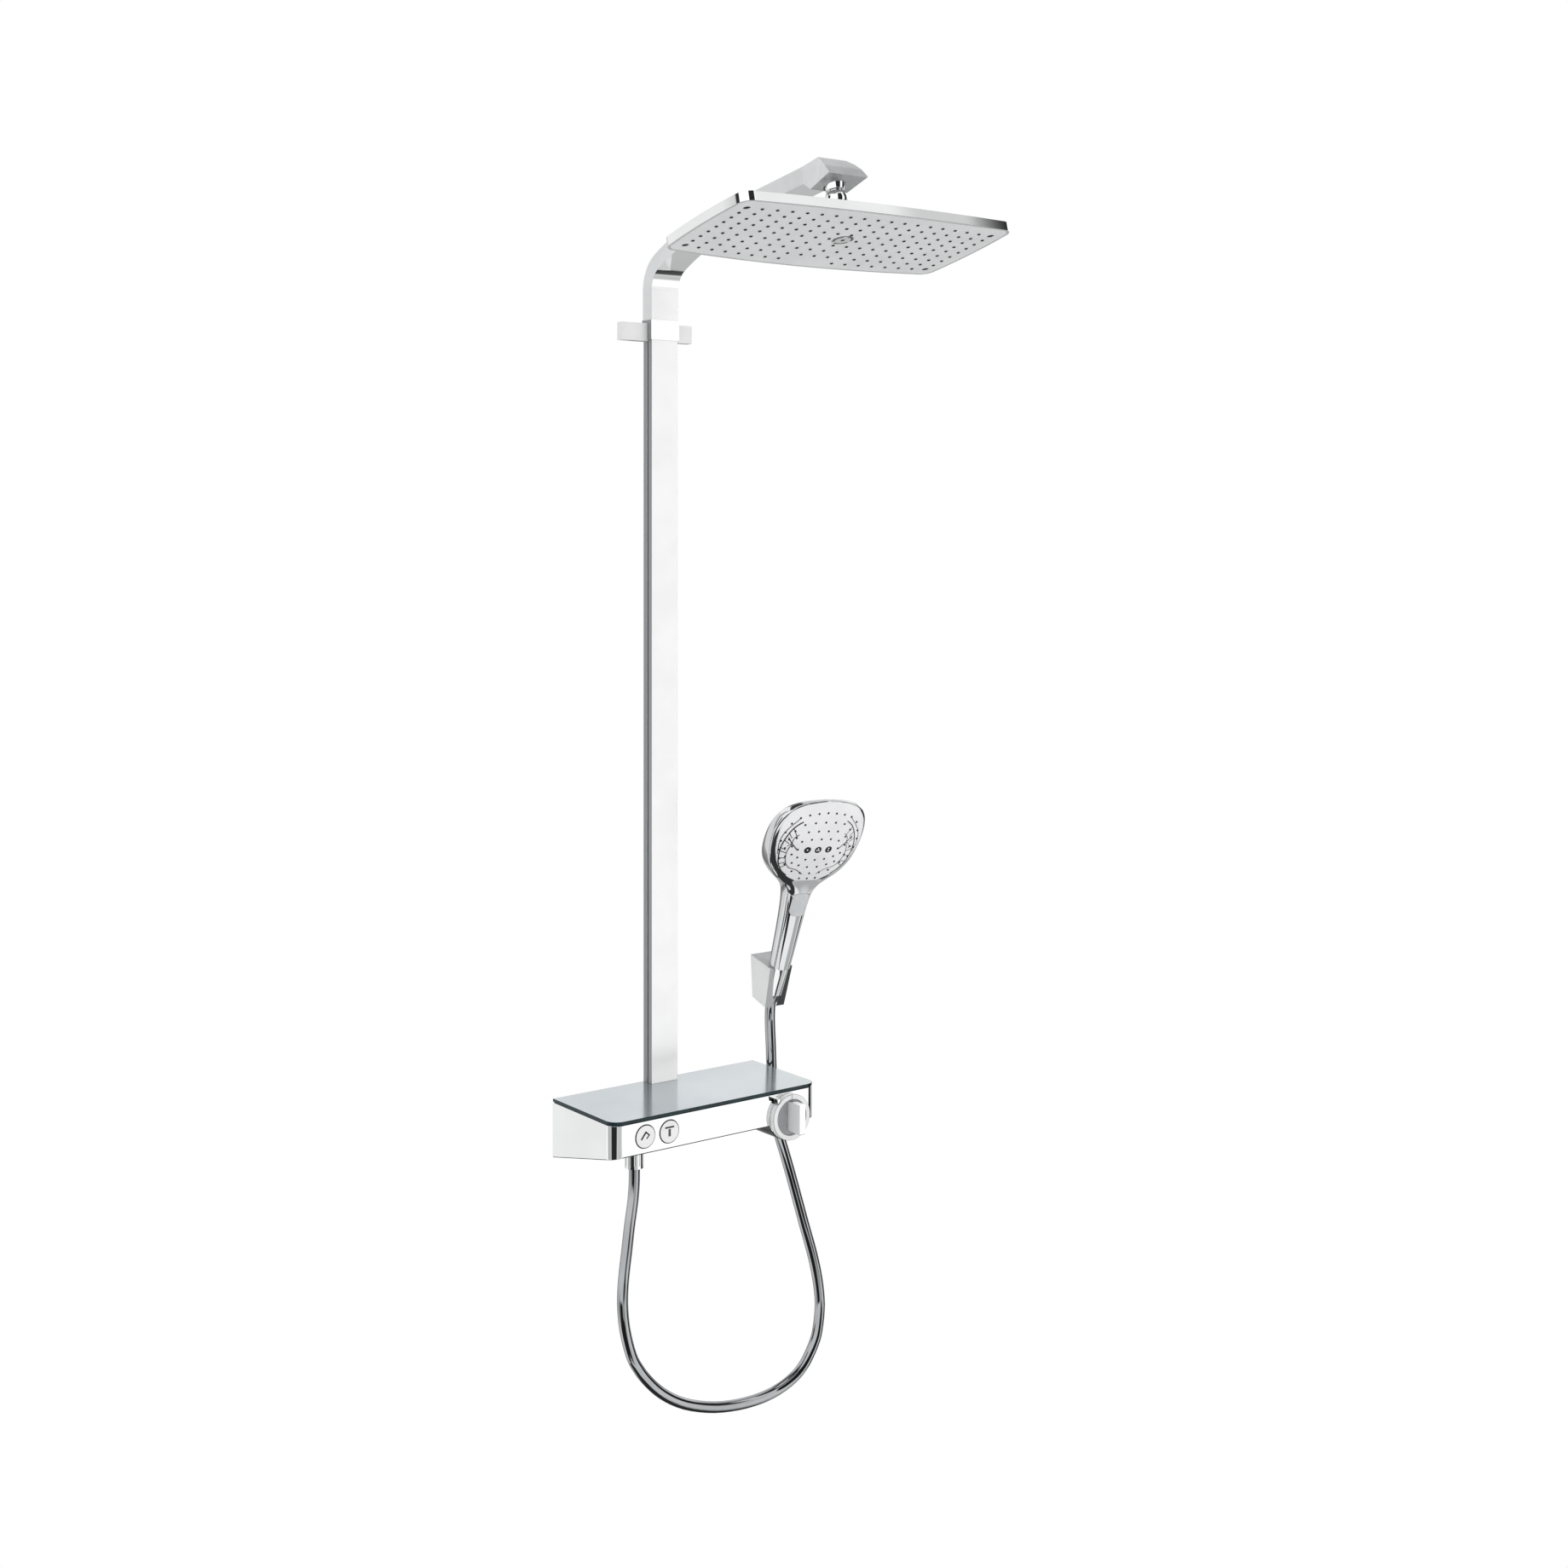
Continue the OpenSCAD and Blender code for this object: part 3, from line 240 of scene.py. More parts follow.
looks = {  # patch, grain and bump are in millimetres
    # chromium over nickel on polished brass: a mirror with hardly any texture
    "polishedChromePlate": {
        "metallic": 1.0, "tones": ("#f1f2f2", "#f6f7f7"), "patch": 60, "grain": 9, "rough": (0.02, 0.05)},
    # chromium over nickel on moulded ABS: the same mirror, a little darker
    "chromePlatedAbs": {
        "metallic": 1.0, "tones": ("#d3d5d6", "#dbdcdd"), "patch": 60, "grain": 9, "rough": (0.02, 0.05)},
    # chromium over a fine blasted surface: a soft pale sheen without clear reflections
    "satinChromePlate": {
        "metallic": 0.06, "tones": ("#eaebec", "#f0f1f2"), "patch": 45, "grain": 3, "rough": (0.36, 0.4),
        "Specular IOR Level": 0.3},
    # pearl chromium, blasted finer, on the bracket's wings: nearly white, without a highlight; on the holder's
    # left flank the same white is painted light
    "pearlChromeAndPaintedLight": {
        "metallic": 0.06, "tones": ("#ecedec", "#f3f4f3"), "patch": 40, "grain": 3, "rough": (0.34, 0.38),
        "Specular IOR Level": 0.3},
    # painted shade on chromium flanks turned to the left, on the arm and the knob's blade: a pale even grey
    "flankChromePaintedShade": {
        "metallic": 0.05, "tones": ("#dcddde", "#e4e5e6"), "patch": 40, "grain": 3, "rough": (0.34, 0.38),
        "Specular IOR Level": 0.3},
    # chromium with painted shade, under the arm's nose and on the holder's top and front: mid grey with a weak
    # sheen
    "chromeInPaintedShade": {
        "metallic": 0.2, "tones": ("#a9abac", "#b5b7b8"), "patch": 30, "grain": 3, "rough": (0.2, 0.28)},
    # chromium with painted shade on the floor of the knob's recess: a flat mid grey
    "recessChromePaintedShade": {
        "metallic": 0.3, "tones": ("#a0a2a4", "#a8aaac"), "patch": 12, "grain": 0.8, "rough": (0.4, 0.5)},
    # painted dark reflection on rounded chromium edges, and painted shade on the holder's right jaw and in the
    # column's side grooves: nearly black
    "paintedDarkReflexAndShade": {
        "metallic": 0.4, "tones": ("#303234", "#3c3e40"), "patch": 8, "grain": 0.6, "rough": (0.25, 0.35)},
    # a small ground chromium edge: a grey line
    # the scale tick's own grey, a painted grey reflection on small rounded edges of chromium and of the scale
    # ring, and painted shade on the bracket sleeve's left side
    "greyTickAndPaintedReflexAndShade": {
        "metallic": 0.5, "tones": ("#8e9092", "#9a9c9e"), "patch": 8, "grain": 0.6, "rough": (0.25, 0.35)},
    # aluminium, clear anodised, with painted light on the fronts of the column and of the arm's foot: bright
    # and even, with a broad sheen
    "anodisedFrontPaintedLight": {
        "metallic": 0.6, "tones": ("#f4f4f4", "#f9f9f9"), "patch": 50, "grain": 3, "rough": (0.2, 0.26)},
    # aluminium, drawn and clear anodised: long soft lines along the profile
    "anodisedAluminium": {
        "metallic": 0.6, "tones": ("#8f9194", "#a2a4a6"), "patch": 30, "grain": 3, "rough": (0.28, 0.38),
        "stretch": (1, 1, 0.03)},
    # steel, turned or pressed: grey metal with a fine tool grain
    "turnedSteel": {
        "metallic": 1.0, "tones": ("#a9abad", "#bcbec0"), "patch": 12, "grain": 0.8, "rough": (0.25, 0.4)},
    # steel, oxide blackened: a dull black
    "blackenedSteel": {
        "metallic": 0.5, "tones": ("#141517", "#1e1f21"), "patch": 6, "grain": 0.5, "rough": (0.35, 0.5)},
    # brass, turned and milled: warm yellow metal with a fine tool grain
    "machinedBrass": {
        "metallic": 1.0, "tones": ("#b79a5c", "#c8ad70"), "patch": 14, "grain": 0.9, "rough": (0.25, 0.42)},
    # tempered glass with a silver coat on its back: a grey-blue mirror, softened, under a clear gloss
    "silveredSafetyGlass": {
        "metallic": 0.7, "tones": ("#a6b0b5", "#b9c1c5"), "patch": 160, "grain": 14, "rough": (0.14, 0.2),
        "Coat Weight": 0.3, "Coat Roughness": 0.03},
    # the cut and ground edge of that glass: dark green-blue in its depth
    "groundGlassEdge": {
        "tones": ("#0f2226", "#173236"), "patch": 18, "grain": 1.5, "rough": (0.1, 0.2),
        "Specular IOR Level": 0.3},
    # acetal, moulded: white and faintly waxy
    "mouldedWhiteAcetal": {
        "tones": ("#e9e9e7", "#f1f1ef"), "patch": 20, "grain": 0.9, "rough": (0.35, 0.5), "bump": 0.01},
    # ABS, moulded in a lightly etched tool: light grey and matt
    "mouldedGreyAbs": {
        "tones": ("#bcc0c3", "#c4c8ca"), "patch": 16, "grain": 0.7, "rough": (0.3, 0.42), "bump": 0.01},
    # ABS, moulded in a polished tool: nearly white, with a clear gloss on top
    "glossyPaleAbs": {
        "tones": ("#f4f4f6", "#f9f9fb"), "patch": 24, "grain": 2, "rough": (0.12, 0.2),
        "Coat Weight": 0.3, "Coat Roughness": 0.08},
    # ABS, moulded in a polished tool and left bare: white, a little softer
    "glossyWhiteAbs": {"tones": ("#eeeeef", "#f5f5f5"), "patch": 24, "grain": 2, "rough": (0.14, 0.22)},
    # ABS, moulded in a finely matted tool: light grey, half gloss
    "selectButtonAbs": {"tones": ("#cdd0d2", "#d5d7d9"), "patch": 16, "grain": 0.9, "rough": (0.2, 0.3)},
    # silicone, moulded, with a faint bloom: soft and nearly black
    "mouldedSilicone": {
        "tones": ("#131416", "#1d1f21"), "patch": 5, "grain": 0.5, "rough": (0.5, 0.7), "bump": 0.02},
    # rubber, moulded: black and dry
    "blackRubber": {
        "tones": ("#161617", "#232324"), "patch": 6, "grain": 0.6, "rough": (0.55, 0.75), "bump": 0.02},
    # pad-printed ink: a matt black
    "printedBlackInk": {"tones": ("#17181a", "#222325"), "patch": 4, "grain": 0.4, "rough": (0.4, 0.55)},
    # a metallised skin, drawn smooth over a wound core: a dark chromium look
    "metallisedHoseSkin": {
        "metallic": 1.0, "tones": ("#a3a5a7", "#aeb0b2"), "patch": 40, "grain": 4, "rough": (0.03, 0.06)},
}
finish = {name: makeMaterial(name, look) for name, look in looks.items()}
print("materials are made")


def newPiece(name, bm, material, angle=35):
    mesh = bpy.data.meshes.new(name)
    bm.normal_update()
    bm.to_mesh(mesh)
    bm.free()
    piece = bpy.data.objects.new(name, mesh)
    scene.collection.objects.link(piece)
    mesh.materials.append(finish[material])
    mesh.shade_smooth()
    mesh.set_sharp_from_angle(angle=math.radians(angle))
    return piece


def nodeMesh(node):
    # the node's own shape, its doubles merged and its flat faces whole
    bm = bmesh.new()
    bm.from_mesh(frame["nodes"][node].data)
    bmesh.ops.remove_doubles(bm, verts=bm.verts, dist=2e-6)
    bmesh.ops.dissolve_limit(bm, angle_limit=math.radians(0.6), verts=bm.verts, edges=bm.edges)
    return bm


def tint(bm, index, test):
    # another material for the faces that pass a test of their middle, in millimetres, and their normal
    for face in bm.faces:
        if test(face.calc_center_median() / mm, face.normal):
            face.material_index = index


def finishEdges(piece, edge, angle=30, look=None):
    # rounded edges, in a material of their own where they show as a line; on chromium and on the scale ring
    # that material is a painted reflection
    bevel = piece.modifiers.new("edges", "BEVEL")
    bevel.width, bevel.segments, bevel.limit_method = edge * mm, 3, "ANGLE"
    bevel.angle_limit = math.radians(angle)
    flat = piece.modifiers.new("normals", "WEIGHTED_NORMAL")
    flat.keep_sharp, flat.weight = True, 100
    if look:
        piece.data.materials.append(finish[look])
        bevel.material = len(piece.data.materials) - 1


def soften(node, material, edge=0.5, angle=30, others=(), roundFirst=None, edgeLook=None):
    # the node's own shape with its sharp edges rounded, and other materials on some of its faces or its edges
    bm = nodeMesh(node)
    if roundFirst:
        width, test = roundFirst
        edges = [e for e in bm.edges if test((e.verts[0].co + e.verts[1].co) / 2 / mm, e)]
        bmesh.ops.bevel(bm, geom=edges, offset=width * mm, offset_type="OFFSET", segments=4, profile=0.5,
                        affect="EDGES", material=-1)
    for index, (name, test) in enumerate(others, 1):
        tint(bm, index, test)
    piece = newPiece(node + "Finished", bm, material, angle)
    for name, test in others:
        piece.data.materials.append(finish[name])
    finishEdges(piece, edge, angle, edgeLook)
    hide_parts(node)
    return piece


record = frame["record"]
bodyOf = {n: b for b, names in record["behaviour"]["bodies"].items() for n in names}

# the hose hangs in one loop from the outlet nut under the mixer to the cone nut of the handset
hose = {
    "radius": 7.0, "sides": 24,
    "route": [  # the middle of the hose, in millimetres
        (-77, -67, -44), (-77, -67, -60), (-79, -67, -85), (-84, -67, -115), (-89, -68, -147),
        (-94, -69, -178), (-97, -71, -208), (-95, -73, -240), (-87, -75, -273), (-78, -76, -291),
        (-65, -77, -309), (-43, -78, -331), (-10, -79, -352), (36, -80, -368), (85, -80, -375),
        (128, -80, -373), (160, -80, -363), (178, -80, -351), (190, -79, -338), (200, -78, -323),
        (206, -77, -307), (211, -75, -277), (209, -72, -243), (203, -68, -209), (195, -63, -175),
        (188, -57, -141), (181, -51, -107), (175, -44, -76), (171, -36, -49), (171, -27, -15),
        (171, -22, 25), (171, -20, 60), (171, -17.8192, 95.4123), (171, -19.3469, 116.3772),
        (171, -24.8192, 131.4123)],
}


def smoothRoute(points):  # one point more between each two, on a smooth curve
    p = [Vector(q) for q in points]
    out = []
    for i in range(len(p) - 1):
        a, b, c, d = p[max(i - 1, 0)], p[i], p[i + 1], p[min(i + 2, len(p) - 1)]
        out += [b, (9 * (b + c) - a - d) / 16]
    return out + [p[-1]]


def sweepTube(points, radius, sides):
    # a closed tube: each ring is extruded from the one before and then set square to the route
    bm = bmesh.new()
    ring = bmesh.ops.create_circle(bm, segments=sides, radius=radius)["verts"]
    loops = []
    for i, spot in enumerate(points):
        ahead = (points[min(i + 1, len(points) - 1)] - points[max(i - 1, 0)]).normalized()
        across = (Vector((0, 1, 0)) - ahead * ahead.y).normalized()
        if i:
            edges = list({e for v in ring for e in v.link_edges if e.other_vert(v) in ring})
            made = bmesh.ops.extrude_edge_only(bm, edges=edges)["geom"]
            new = [g for g in made if isinstance(g, bmesh.types.BMVert)]
            pairs = {}
            for v in ring:  # keep the order of the ring
                for e in v.link_edges:
                    if e.other_vert(v) in new:
                        pairs[v] = e.other_vert(v)
            ring = [pairs[v] for v in ring]
        up = ahead.cross(across)
        for k, v in enumerate(ring):
            a = 2 * math.pi * k / sides
            v.co = spot + radius * (math.cos(a) * across + math.sin(a) * up)
        loops.append(ring)
    bmesh.ops.contextual_create(bm, geom=loops[0])
    bmesh.ops.contextual_create(bm, geom=loops[-1])
    bmesh.ops.recalc_face_normals(bm, faces=bm.faces)
    return bm


hosePath = [q * mm for q in smoothRoute(hose["route"])]
finePath = smoothRoute(hosePath)
hoseTube = sweepTube(finePath, hose["radius"] * mm, hose["sides"])
hosePiece = newPiece("showerHose", hoseTube, "metallisedHoseSkin")
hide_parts("shower_hose")
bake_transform(hosePiece)

# places on the object, in millimetres
mixerLow, mixerHigh = [Vector(c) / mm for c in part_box("mixer_body")]
front = mixerLow.y  # the mixer's front
knob = Vector([j for j in record["behaviour"]["joints"] if j["name"] == "thermostat_turn"][0]["pos_m"]) / mm
buttons = {name: sum((Vector(c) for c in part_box(name)), Vector()) / 2 / mm
           for name in ("select_button_hand", "select_button_overhead")}
safetySpot = Vector((86.3, 0, 27.9))
bodyHoles = [(knob, 22), (safetySpot, 6)] + [(middle, 16) for middle in buttons.values()]
borders = {  # where one material gives way to another on the same piece, painted shade and light among them
    "recess": front - 7, "blade": front - 6.5, "wingFront": -12.1, "wingStart": 22, "armFoot": 1100,
    "nose": -300, "holderSlot": 171, "groove": (-19.5, -19)}


def outerRim(middle, edge):
    # the bottom edges along the body's front and sides, but not those of its holes
    if len(edge.link_faces) != 2 or edge.calc_face_angle(0) < math.radians(35):
        return False
    if any(math.hypot(middle.x - hole.x, middle.z - hole.z) < radius for hole, radius in bodyHoles):
        return False
    low = any(f.normal.z < -0.3 for f in edge.link_faces)
    outside = middle.y < front + 0.2 or abs(middle.x) > mixerHigh.x - 0.2
    return low and outside


def bladeFoot(middle, edge):
    # edges round the bottom of the knob's blade
    inFront = middle.y < borders["blade"]
    return inFront and len(edge.link_faces) == 2 and any(f.normal.z < -0.9 for f in edge.link_faces)


# tests of a face, from its middle c and its normal n
def leftFlank(c, n):
    return n.x < -0.8


def noseUnderside(c, n):
    return c.y < borders["nose"] and abs(n.x) < 0.35 and (n.z < -0.5 or n.y < -0.45)


def holderFront(c, n):
    return n.y < -0.5 and c.x < borders["holderSlot"]


def holderShade(c, n):
    return n.y < -0.5 and c.x > borders["holderSlot"]


def columnGroove(c, n):
    return n.x < -0.9 and borders["groove"][0] < c.x < borders["groove"][1]


chrome = "polishedChromePlate"
# for each node its material, the width of its rounded edges and the angle from which an edge is rounded,
# then an outline to round first, and other materials on some of its faces or on its edges
# most of the other materials below are painted shade, light or reflection, laid on faces by the way they point
pieces = {
    "mixer_body": dict(material=chrome, edge=0.5, angle=40, roundFirst=(2.0, outerRim), others=[
        # painted dark reflection on the body's rounded lower edges
        ("paintedDarkReflexAndShade", lambda c, n: -0.95 < n.z < -0.3)]),
    # the ring's rounded edges: painted grey reflection
    "scale_ring": dict(material="glossyWhiteAbs", edge=0.5, edgeLook="greyTickAndPaintedReflexAndShade"),
    "thermostat_handle": dict(material=chrome, edge=0.4, roundFirst=(0.9, bladeFoot), others=[
        # painted shade: the floor of the knob's recess in a flat mid grey
        ("recessChromePaintedShade", lambda c, n: n.y < -0.9 and c.y > borders["recess"]),
        # painted shade: the blade's left flank in a pale grey
        ("flankChromePaintedShade", leftFlank),
        # painted dark reflection on the rounded foot of the blade
        ("paintedDarkReflexAndShade", lambda c, n: -0.93 < n.z < -0.2 and c.y < borders["blade"])]),
    # the rounded rims of both select buttons are drawn in the ink's black, a dark outline round each button
    "select_button_hand": dict(material="glossyWhiteAbs", edge=0.9, edgeLook="printedBlackInk"),
    "select_button_overhead": dict(material="glossyWhiteAbs", edge=0.9, edgeLook="printedBlackInk"),
    "glass_shelf": dict(material="silveredSafetyGlass", edge=0.4, edgeLook="groundGlassEdge", others=[
        ("groundGlassEdge", lambda c, n: abs(n.z) < 0.5)]),
    "hose_outlet": dict(material=chrome, edge=0.4),
    "hose_outlet_nut": dict(material=chrome, edge=0.4),
    "hose_cone_nut": dict(material=chrome, edge=0.4),
    "bracket_cover": dict(material=chrome, edge=0.4, others=[
        ("pearlChromeAndPaintedLight", lambda c, n: c.y > borders["wingFront"] and abs(c.x) > borders["wingStart"]),
        # painted shade: the sleeve's left side in grey
        ("greyTickAndPaintedReflexAndShade", lambda c, n: n.x < -0.8 and c.x > -borders["wingStart"])]),
    # the arm: painted grey reflection on its rounded edges
    "shower_arm": dict(material=chrome, edge=0.5, angle=20, edgeLook="greyTickAndPaintedReflexAndShade", others=[
        # painted shade: the arm's left flanks in a pale grey
        ("flankChromePaintedShade", lambda c, n: n.x < -0.35),
        # painted light: the arm's front near its foot made bright
        ("anodisedFrontPaintedLight", lambda c, n: n.y < -0.98 and c.z < borders["armFoot"]),
        # painted shade: mid grey under the arm's nose
        ("chromeInPaintedShade", noseUnderside)]),
    "handset_button": dict(material="selectButtonAbs", edge=0.8),
    "ball_collar": dict(material=chrome, edge=0.4),
    "ball_housing": dict(material=chrome, edge=0.5),
    # painted dark reflection on the rounded edges of head cover and air intake
    "head_cover": dict(material=chrome, edge=1.0, edgeLook="paintedDarkReflexAndShade"),
    "air_intake": dict(material=chrome, edge=0.4, edgeLook="paintedDarkReflexAndShade"),
    "holder_body": dict(material=chrome, edge=0.6, others=[
        # painted light: the holder's left flank made nearly white
        ("pearlChromeAndPaintedLight", leftFlank),
        # painted shade: mid grey on the holder's top and front
        ("chromeInPaintedShade", lambda c, n: n.z > 0.8 or holderFront(c, n)),
        # painted shade: the holder's front right of its slot nearly black
        ("paintedDarkReflexAndShade", holderShade)]),
    "riser_column": dict(material="anodisedAluminium", edge=0.4, others=[
        # painted light on the column's front faces, and painted shade in its side grooves
        ("anodisedFrontPaintedLight", lambda c, n: n.y < -0.9), ("paintedDarkReflexAndShade", columnGroove)]),
}
for node, how in pieces.items():
    piece = soften(node, **how)
    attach(piece, bodyOf[node])
    if node == "glass_shelf":
        piece.visible_glossy = False  # keeps the column's foot and the handset free of its reflection
print("parts that keep their shape are made")


def slab(outlines, y0, y1, bm=None):
    # flat shapes in x and z, between two depths, in millimetres
    bm = bm or bmesh.new()
    for outline in outlines:
        face = bm.faces.new([bm.verts.new((x * mm, y0 * mm, z * mm)) for x, z in outline])
        made = bmesh.ops.extrude_face_region(bm, geom=[face])["geom"]
        new = [g for g in made if isinstance(g, bmesh.types.BMVert)]
        bmesh.ops.translate(bm, verts=new, vec=(0, (y1 - y0) * mm, 0))
    bmesh.ops.recalc_face_normals(bm, faces=bm.faces)
    return bm


def stroke(a, b, width):
    # the outline of a thick line from a to b
    along = Vector(b) - Vector(a)
    side = Vector((-along.y, along.x)).normalized() * width / 2
    return [Vector(a) + side, Vector(b) + side, Vector(b) - side, Vector(a) - side]


def shifted(outlines, x, z):
    return [[(p[0] + x, p[1] + z) for p in outline] for outline in outlines]


icons = {  # lines from the middle of a button: two ends and a width
    "proud": 0.12, "sunk": 0.4,
    # a hand shower
    "select_button_hand": [
        ((-6.2, -3.1), (0.9, 5.8), 2.2), ((0.3, 5.6), (5.8, 0.7), 1.7), ((5.4, 1.4), (1.4, -2.9), 1.6)],
    # an overhead shower with its rain
    "select_button_overhead": [
        ((-6.6, 5.3), (6.6, 5.3), 2.0),
        ((-1.2, 3.2), (-1.2, -5.8), 0.95), ((0, 3.2), (0, -5.8), 0.95), ((1.2, 3.2), (1.2, -5.8), 0.95)],
}
for name, middle in buttons.items():
    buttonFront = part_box(name)[0][1] / mm
    outlines = shifted([stroke(*line) for line in icons[name]], middle.x, middle.z)
    relief = slab(outlines, buttonFront - icons["proud"], buttonFront + icons["sunk"])
    symbol = newPiece(name + "Symbol", relief, "printedBlackInk")
    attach(symbol, bodyOf[name])

# the safety button stands in the ring's scallop, with an outline that follows the ring
ear = {"outline": [(83.9, 31.6), (88.2, 32.4), (91.0, 30.4), (86.2, 25.4), (84.6, 26.2)],
       "proud": 9.4, "sunk": 3, "edge": 0.6}
earShape = slab([ear["outline"]], front - ear["proud"], front + ear["sunk"])
earPiece = newPiece("safetyButtonEar", earShape, chrome)
# painted grey reflection on the button's rounded edges
finishEdges(earPiece, ear["edge"], look="greyTickAndPaintedReflexAndShade")
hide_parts("safety_button")
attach(earPiece, bodyOf["safety_button"])

tick = {"from": 22.9, "to": 28.6, "width": 0.9, "proud": 8.1, "sunk": 7.6}  # on the ring, right above the knob
tickLine = shifted([stroke((0, tick["from"]), (0, tick["to"]), tick["width"])], knob.x, knob.z)
tickShape = slab(tickLine, front - tick["proud"], front - tick["sunk"])
tickPiece = newPiece("scaleTick", tickShape, "greyTickAndPaintedReflexAndShade")
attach(tickPiece, bodyOf["scale_ring"])
print("symbols, safety button and scale tick are made")

handset = {
    # the grip's foot in the holder, its lean to the front and its turn; the hinge of the face on the grip,
    # how far the face leans on, and how far its middle is from that hinge
    "foot": (171, -38.5, 169), "lean": 20, "turn": -8,
    "faceHinge": (0, -13.4, 135), "faceLean": 7, "faceMiddle": 60,
    # points round a ring, rings from one section to the next, and the wall of a hollow from section 1 to 17
    "sides": 64, "steps": 4, "wall": 2.4, "hollow": (1, 17),
    # width of the rounded edges, and the angle from which an edge is rounded
    "edge": 0.6, "sharp": 50,
    # height, half width, front and back depth, roundness of the front and of the back
    "sections": [
        (2.8, 14.2, -13.8, 14.2, 2, 2), (30, 15, -14.4, 15.5, 2.1, 2.1), (60, 16, -15, 17, 2.1, 2.1),
        (90, 17.5, -15, 19, 2.2, 2.2), (108, 19.5, -14.6, 20, 2.3, 2.4), (118, 22.5, -14, 20.5, 2.6, 2.6),
        (127, 29, -13.5, 21, 3.2, 2.8), (135, 38, -13.4, 21.5, 4.5, 3), (143, 46.5, -14.4, 22, 6.5, 3.3),
        (152, 54, -15.5, 21.5, 8, 3.5), (163, 60.5, -16.8, 19.5, 9, 3.6), (176, 65, -18.4, 16.5, 9, 3.6),
        (192, 67.5, -20.4, 12, 9, 3.6), (208, 68, -22.4, 7, 9, 3.5), (222, 66, -24.1, 2.5, 9, 3.4),
        (234, 61.5, -25.6, -2, 9, 3.2), (244, 53.5, -26.8, -7, 9, 3), (251, 41, -27.6, -12, 8, 2.8),
        (255, 27, -28, -17, 6, 2.4), (257.5, 8, -27.5, -22, 3, 2)],
    # outline of the opening for the face, up the right side: height and half width
    "faceRows": [(-58, 16), (-53, 27), (-46, 38), (-37, 47), (-25, 54), (-10, 59.5), (6, 62), (22, 62),
                 (35, 59), (46, 52.5), (54, 43), (59, 31), (61.5, 15)],
    "faceDepth": (-8, 3),
    # opening for the button, its corners' middles and their radius, and the bore for the nipple
    "window": {"height": 100.5, "halfWide": 5.5, "halfTall": 9.5, "corner": 7, "depth": (-22, -6)},
    "bore": 9.2, "boreLength": 64, "boreSides": 48,
    # the face is a shallow dome round a point above its middle
    "dome": {"radius": 323.33, "top": -6.6, "middle": 3},
}


def turned(angle, axis):
    return Matrix.Rotation(math.radians(angle), 4, axis)


gripFrame = Matrix.Translation(handset["foot"]) @ turned(handset["lean"], "X") @ turned(handset["turn"], "Z")
hingeFrame = gripFrame @ Matrix.Translation(handset["faceHinge"]) @ turned(handset["faceLean"], "X")
faceFrame = hingeFrame @ Matrix.Translation((0, 0, handset["faceMiddle"]))


def between(rows, t):
    # a row between the listed ones, on a smooth curve
    i = min(int(t), len(rows) - 2)
    f = t - i
    a, b, c, d = rows[max(i - 1, 0)], rows[i], rows[i + 1], rows[min(i + 2, len(rows) - 1)]
    return [q + 0.5 * f * (r - p + f * (2 * p - 5 * q + 4 * r - s + f * (3 * (q - r) + s - p)))
            for p, q, r, s in zip(a, b, c, d)]


def gripSkin(inset, first, last):
    # rings along the handset's length, bridged and closed at both ends
    bm = bmesh.new()
    sides, steps = handset["sides"], handset["steps"]
    rings = []
    for k in range(first * steps, last * steps + 1):
        z, half, low, high, frontPower, backPower = between(handset["sections"], k / steps)
        ring = bmesh.ops.create_circle(bm, segments=sides, radius=1.0)["verts"]
        for j, v in enumerate(ring):
            a = 2 * math.pi * j / sides
            power = 2 / (frontPower if math.sin(a) < 0 else backPower)
            x = math.copysign(abs(math.cos(a)) ** power, math.cos(a))
            y = math.copysign(abs(math.sin(a)) ** power, math.sin(a))
            v.co = ((half - inset) * x, (low + high) / 2 + ((high - low) / 2 - inset) * y, z)
        rings.append(list({e for v in ring for e in v.link_edges}))
    for a, b in zip(rings, rings[1:]):
        bmesh.ops.bridge_loops(bm, edges=a + b)
    bmesh.ops.holes_fill(bm, edges=[e for e in bm.edges if e.is_boundary], sides=sides)
    bmesh.ops.recalc_face_normals(bm, faces=bm.faces)
    bmesh.ops.transform(bm, matrix=Matrix.Scale(mm, 4) @ gripFrame, verts=bm.verts)
    return bm


def cutOut(piece, cutter):
    # take the cutter's space out of a piece
    tool = newPiece(piece.name + "Cutter", cutter, chrome)
    cut = piece.modifiers.new("cut", "BOOLEAN")
    cut.operation, cut.solver, cut.object = "DIFFERENCE", "EXACT", tool
    bpy.context.view_layer.update()
    mesh = bpy.data.meshes.new_from_object(piece.evaluated_get(bpy.context.evaluated_depsgraph_get()))
    piece.modifiers.remove(cut)
    piece.data = mesh
    bpy.data.objects.remove(tool)


def moved(bm, place):
    bmesh.ops.transform(bm, matrix=Matrix.Scale(mm, 4) @ place @ Matrix.Scale(1 / mm, 4), verts=bm.verts)
    return bm


def faceOutline():
    rows = handset["faceRows"]
    return [(x, z) for z, x in rows] + [(-x, z) for z, x in reversed(rows)]


def windowOutline():
    # a rounded rectangle, each corner an arc of seven points
    w = handset["window"]
    points = []
    for quarter, (sideX, sideZ) in enumerate([(1, 1), (-1, 1), (-1, -1), (1, -1)]):
        for step in range(7):
            a = math.radians(90 * quarter + 15 * step)
            points.append((sideX * w["halfWide"] + w["corner"] * math.cos(a),
                           w["height"] + sideZ * w["halfTall"] + w["corner"] * math.sin(a)))
    return points


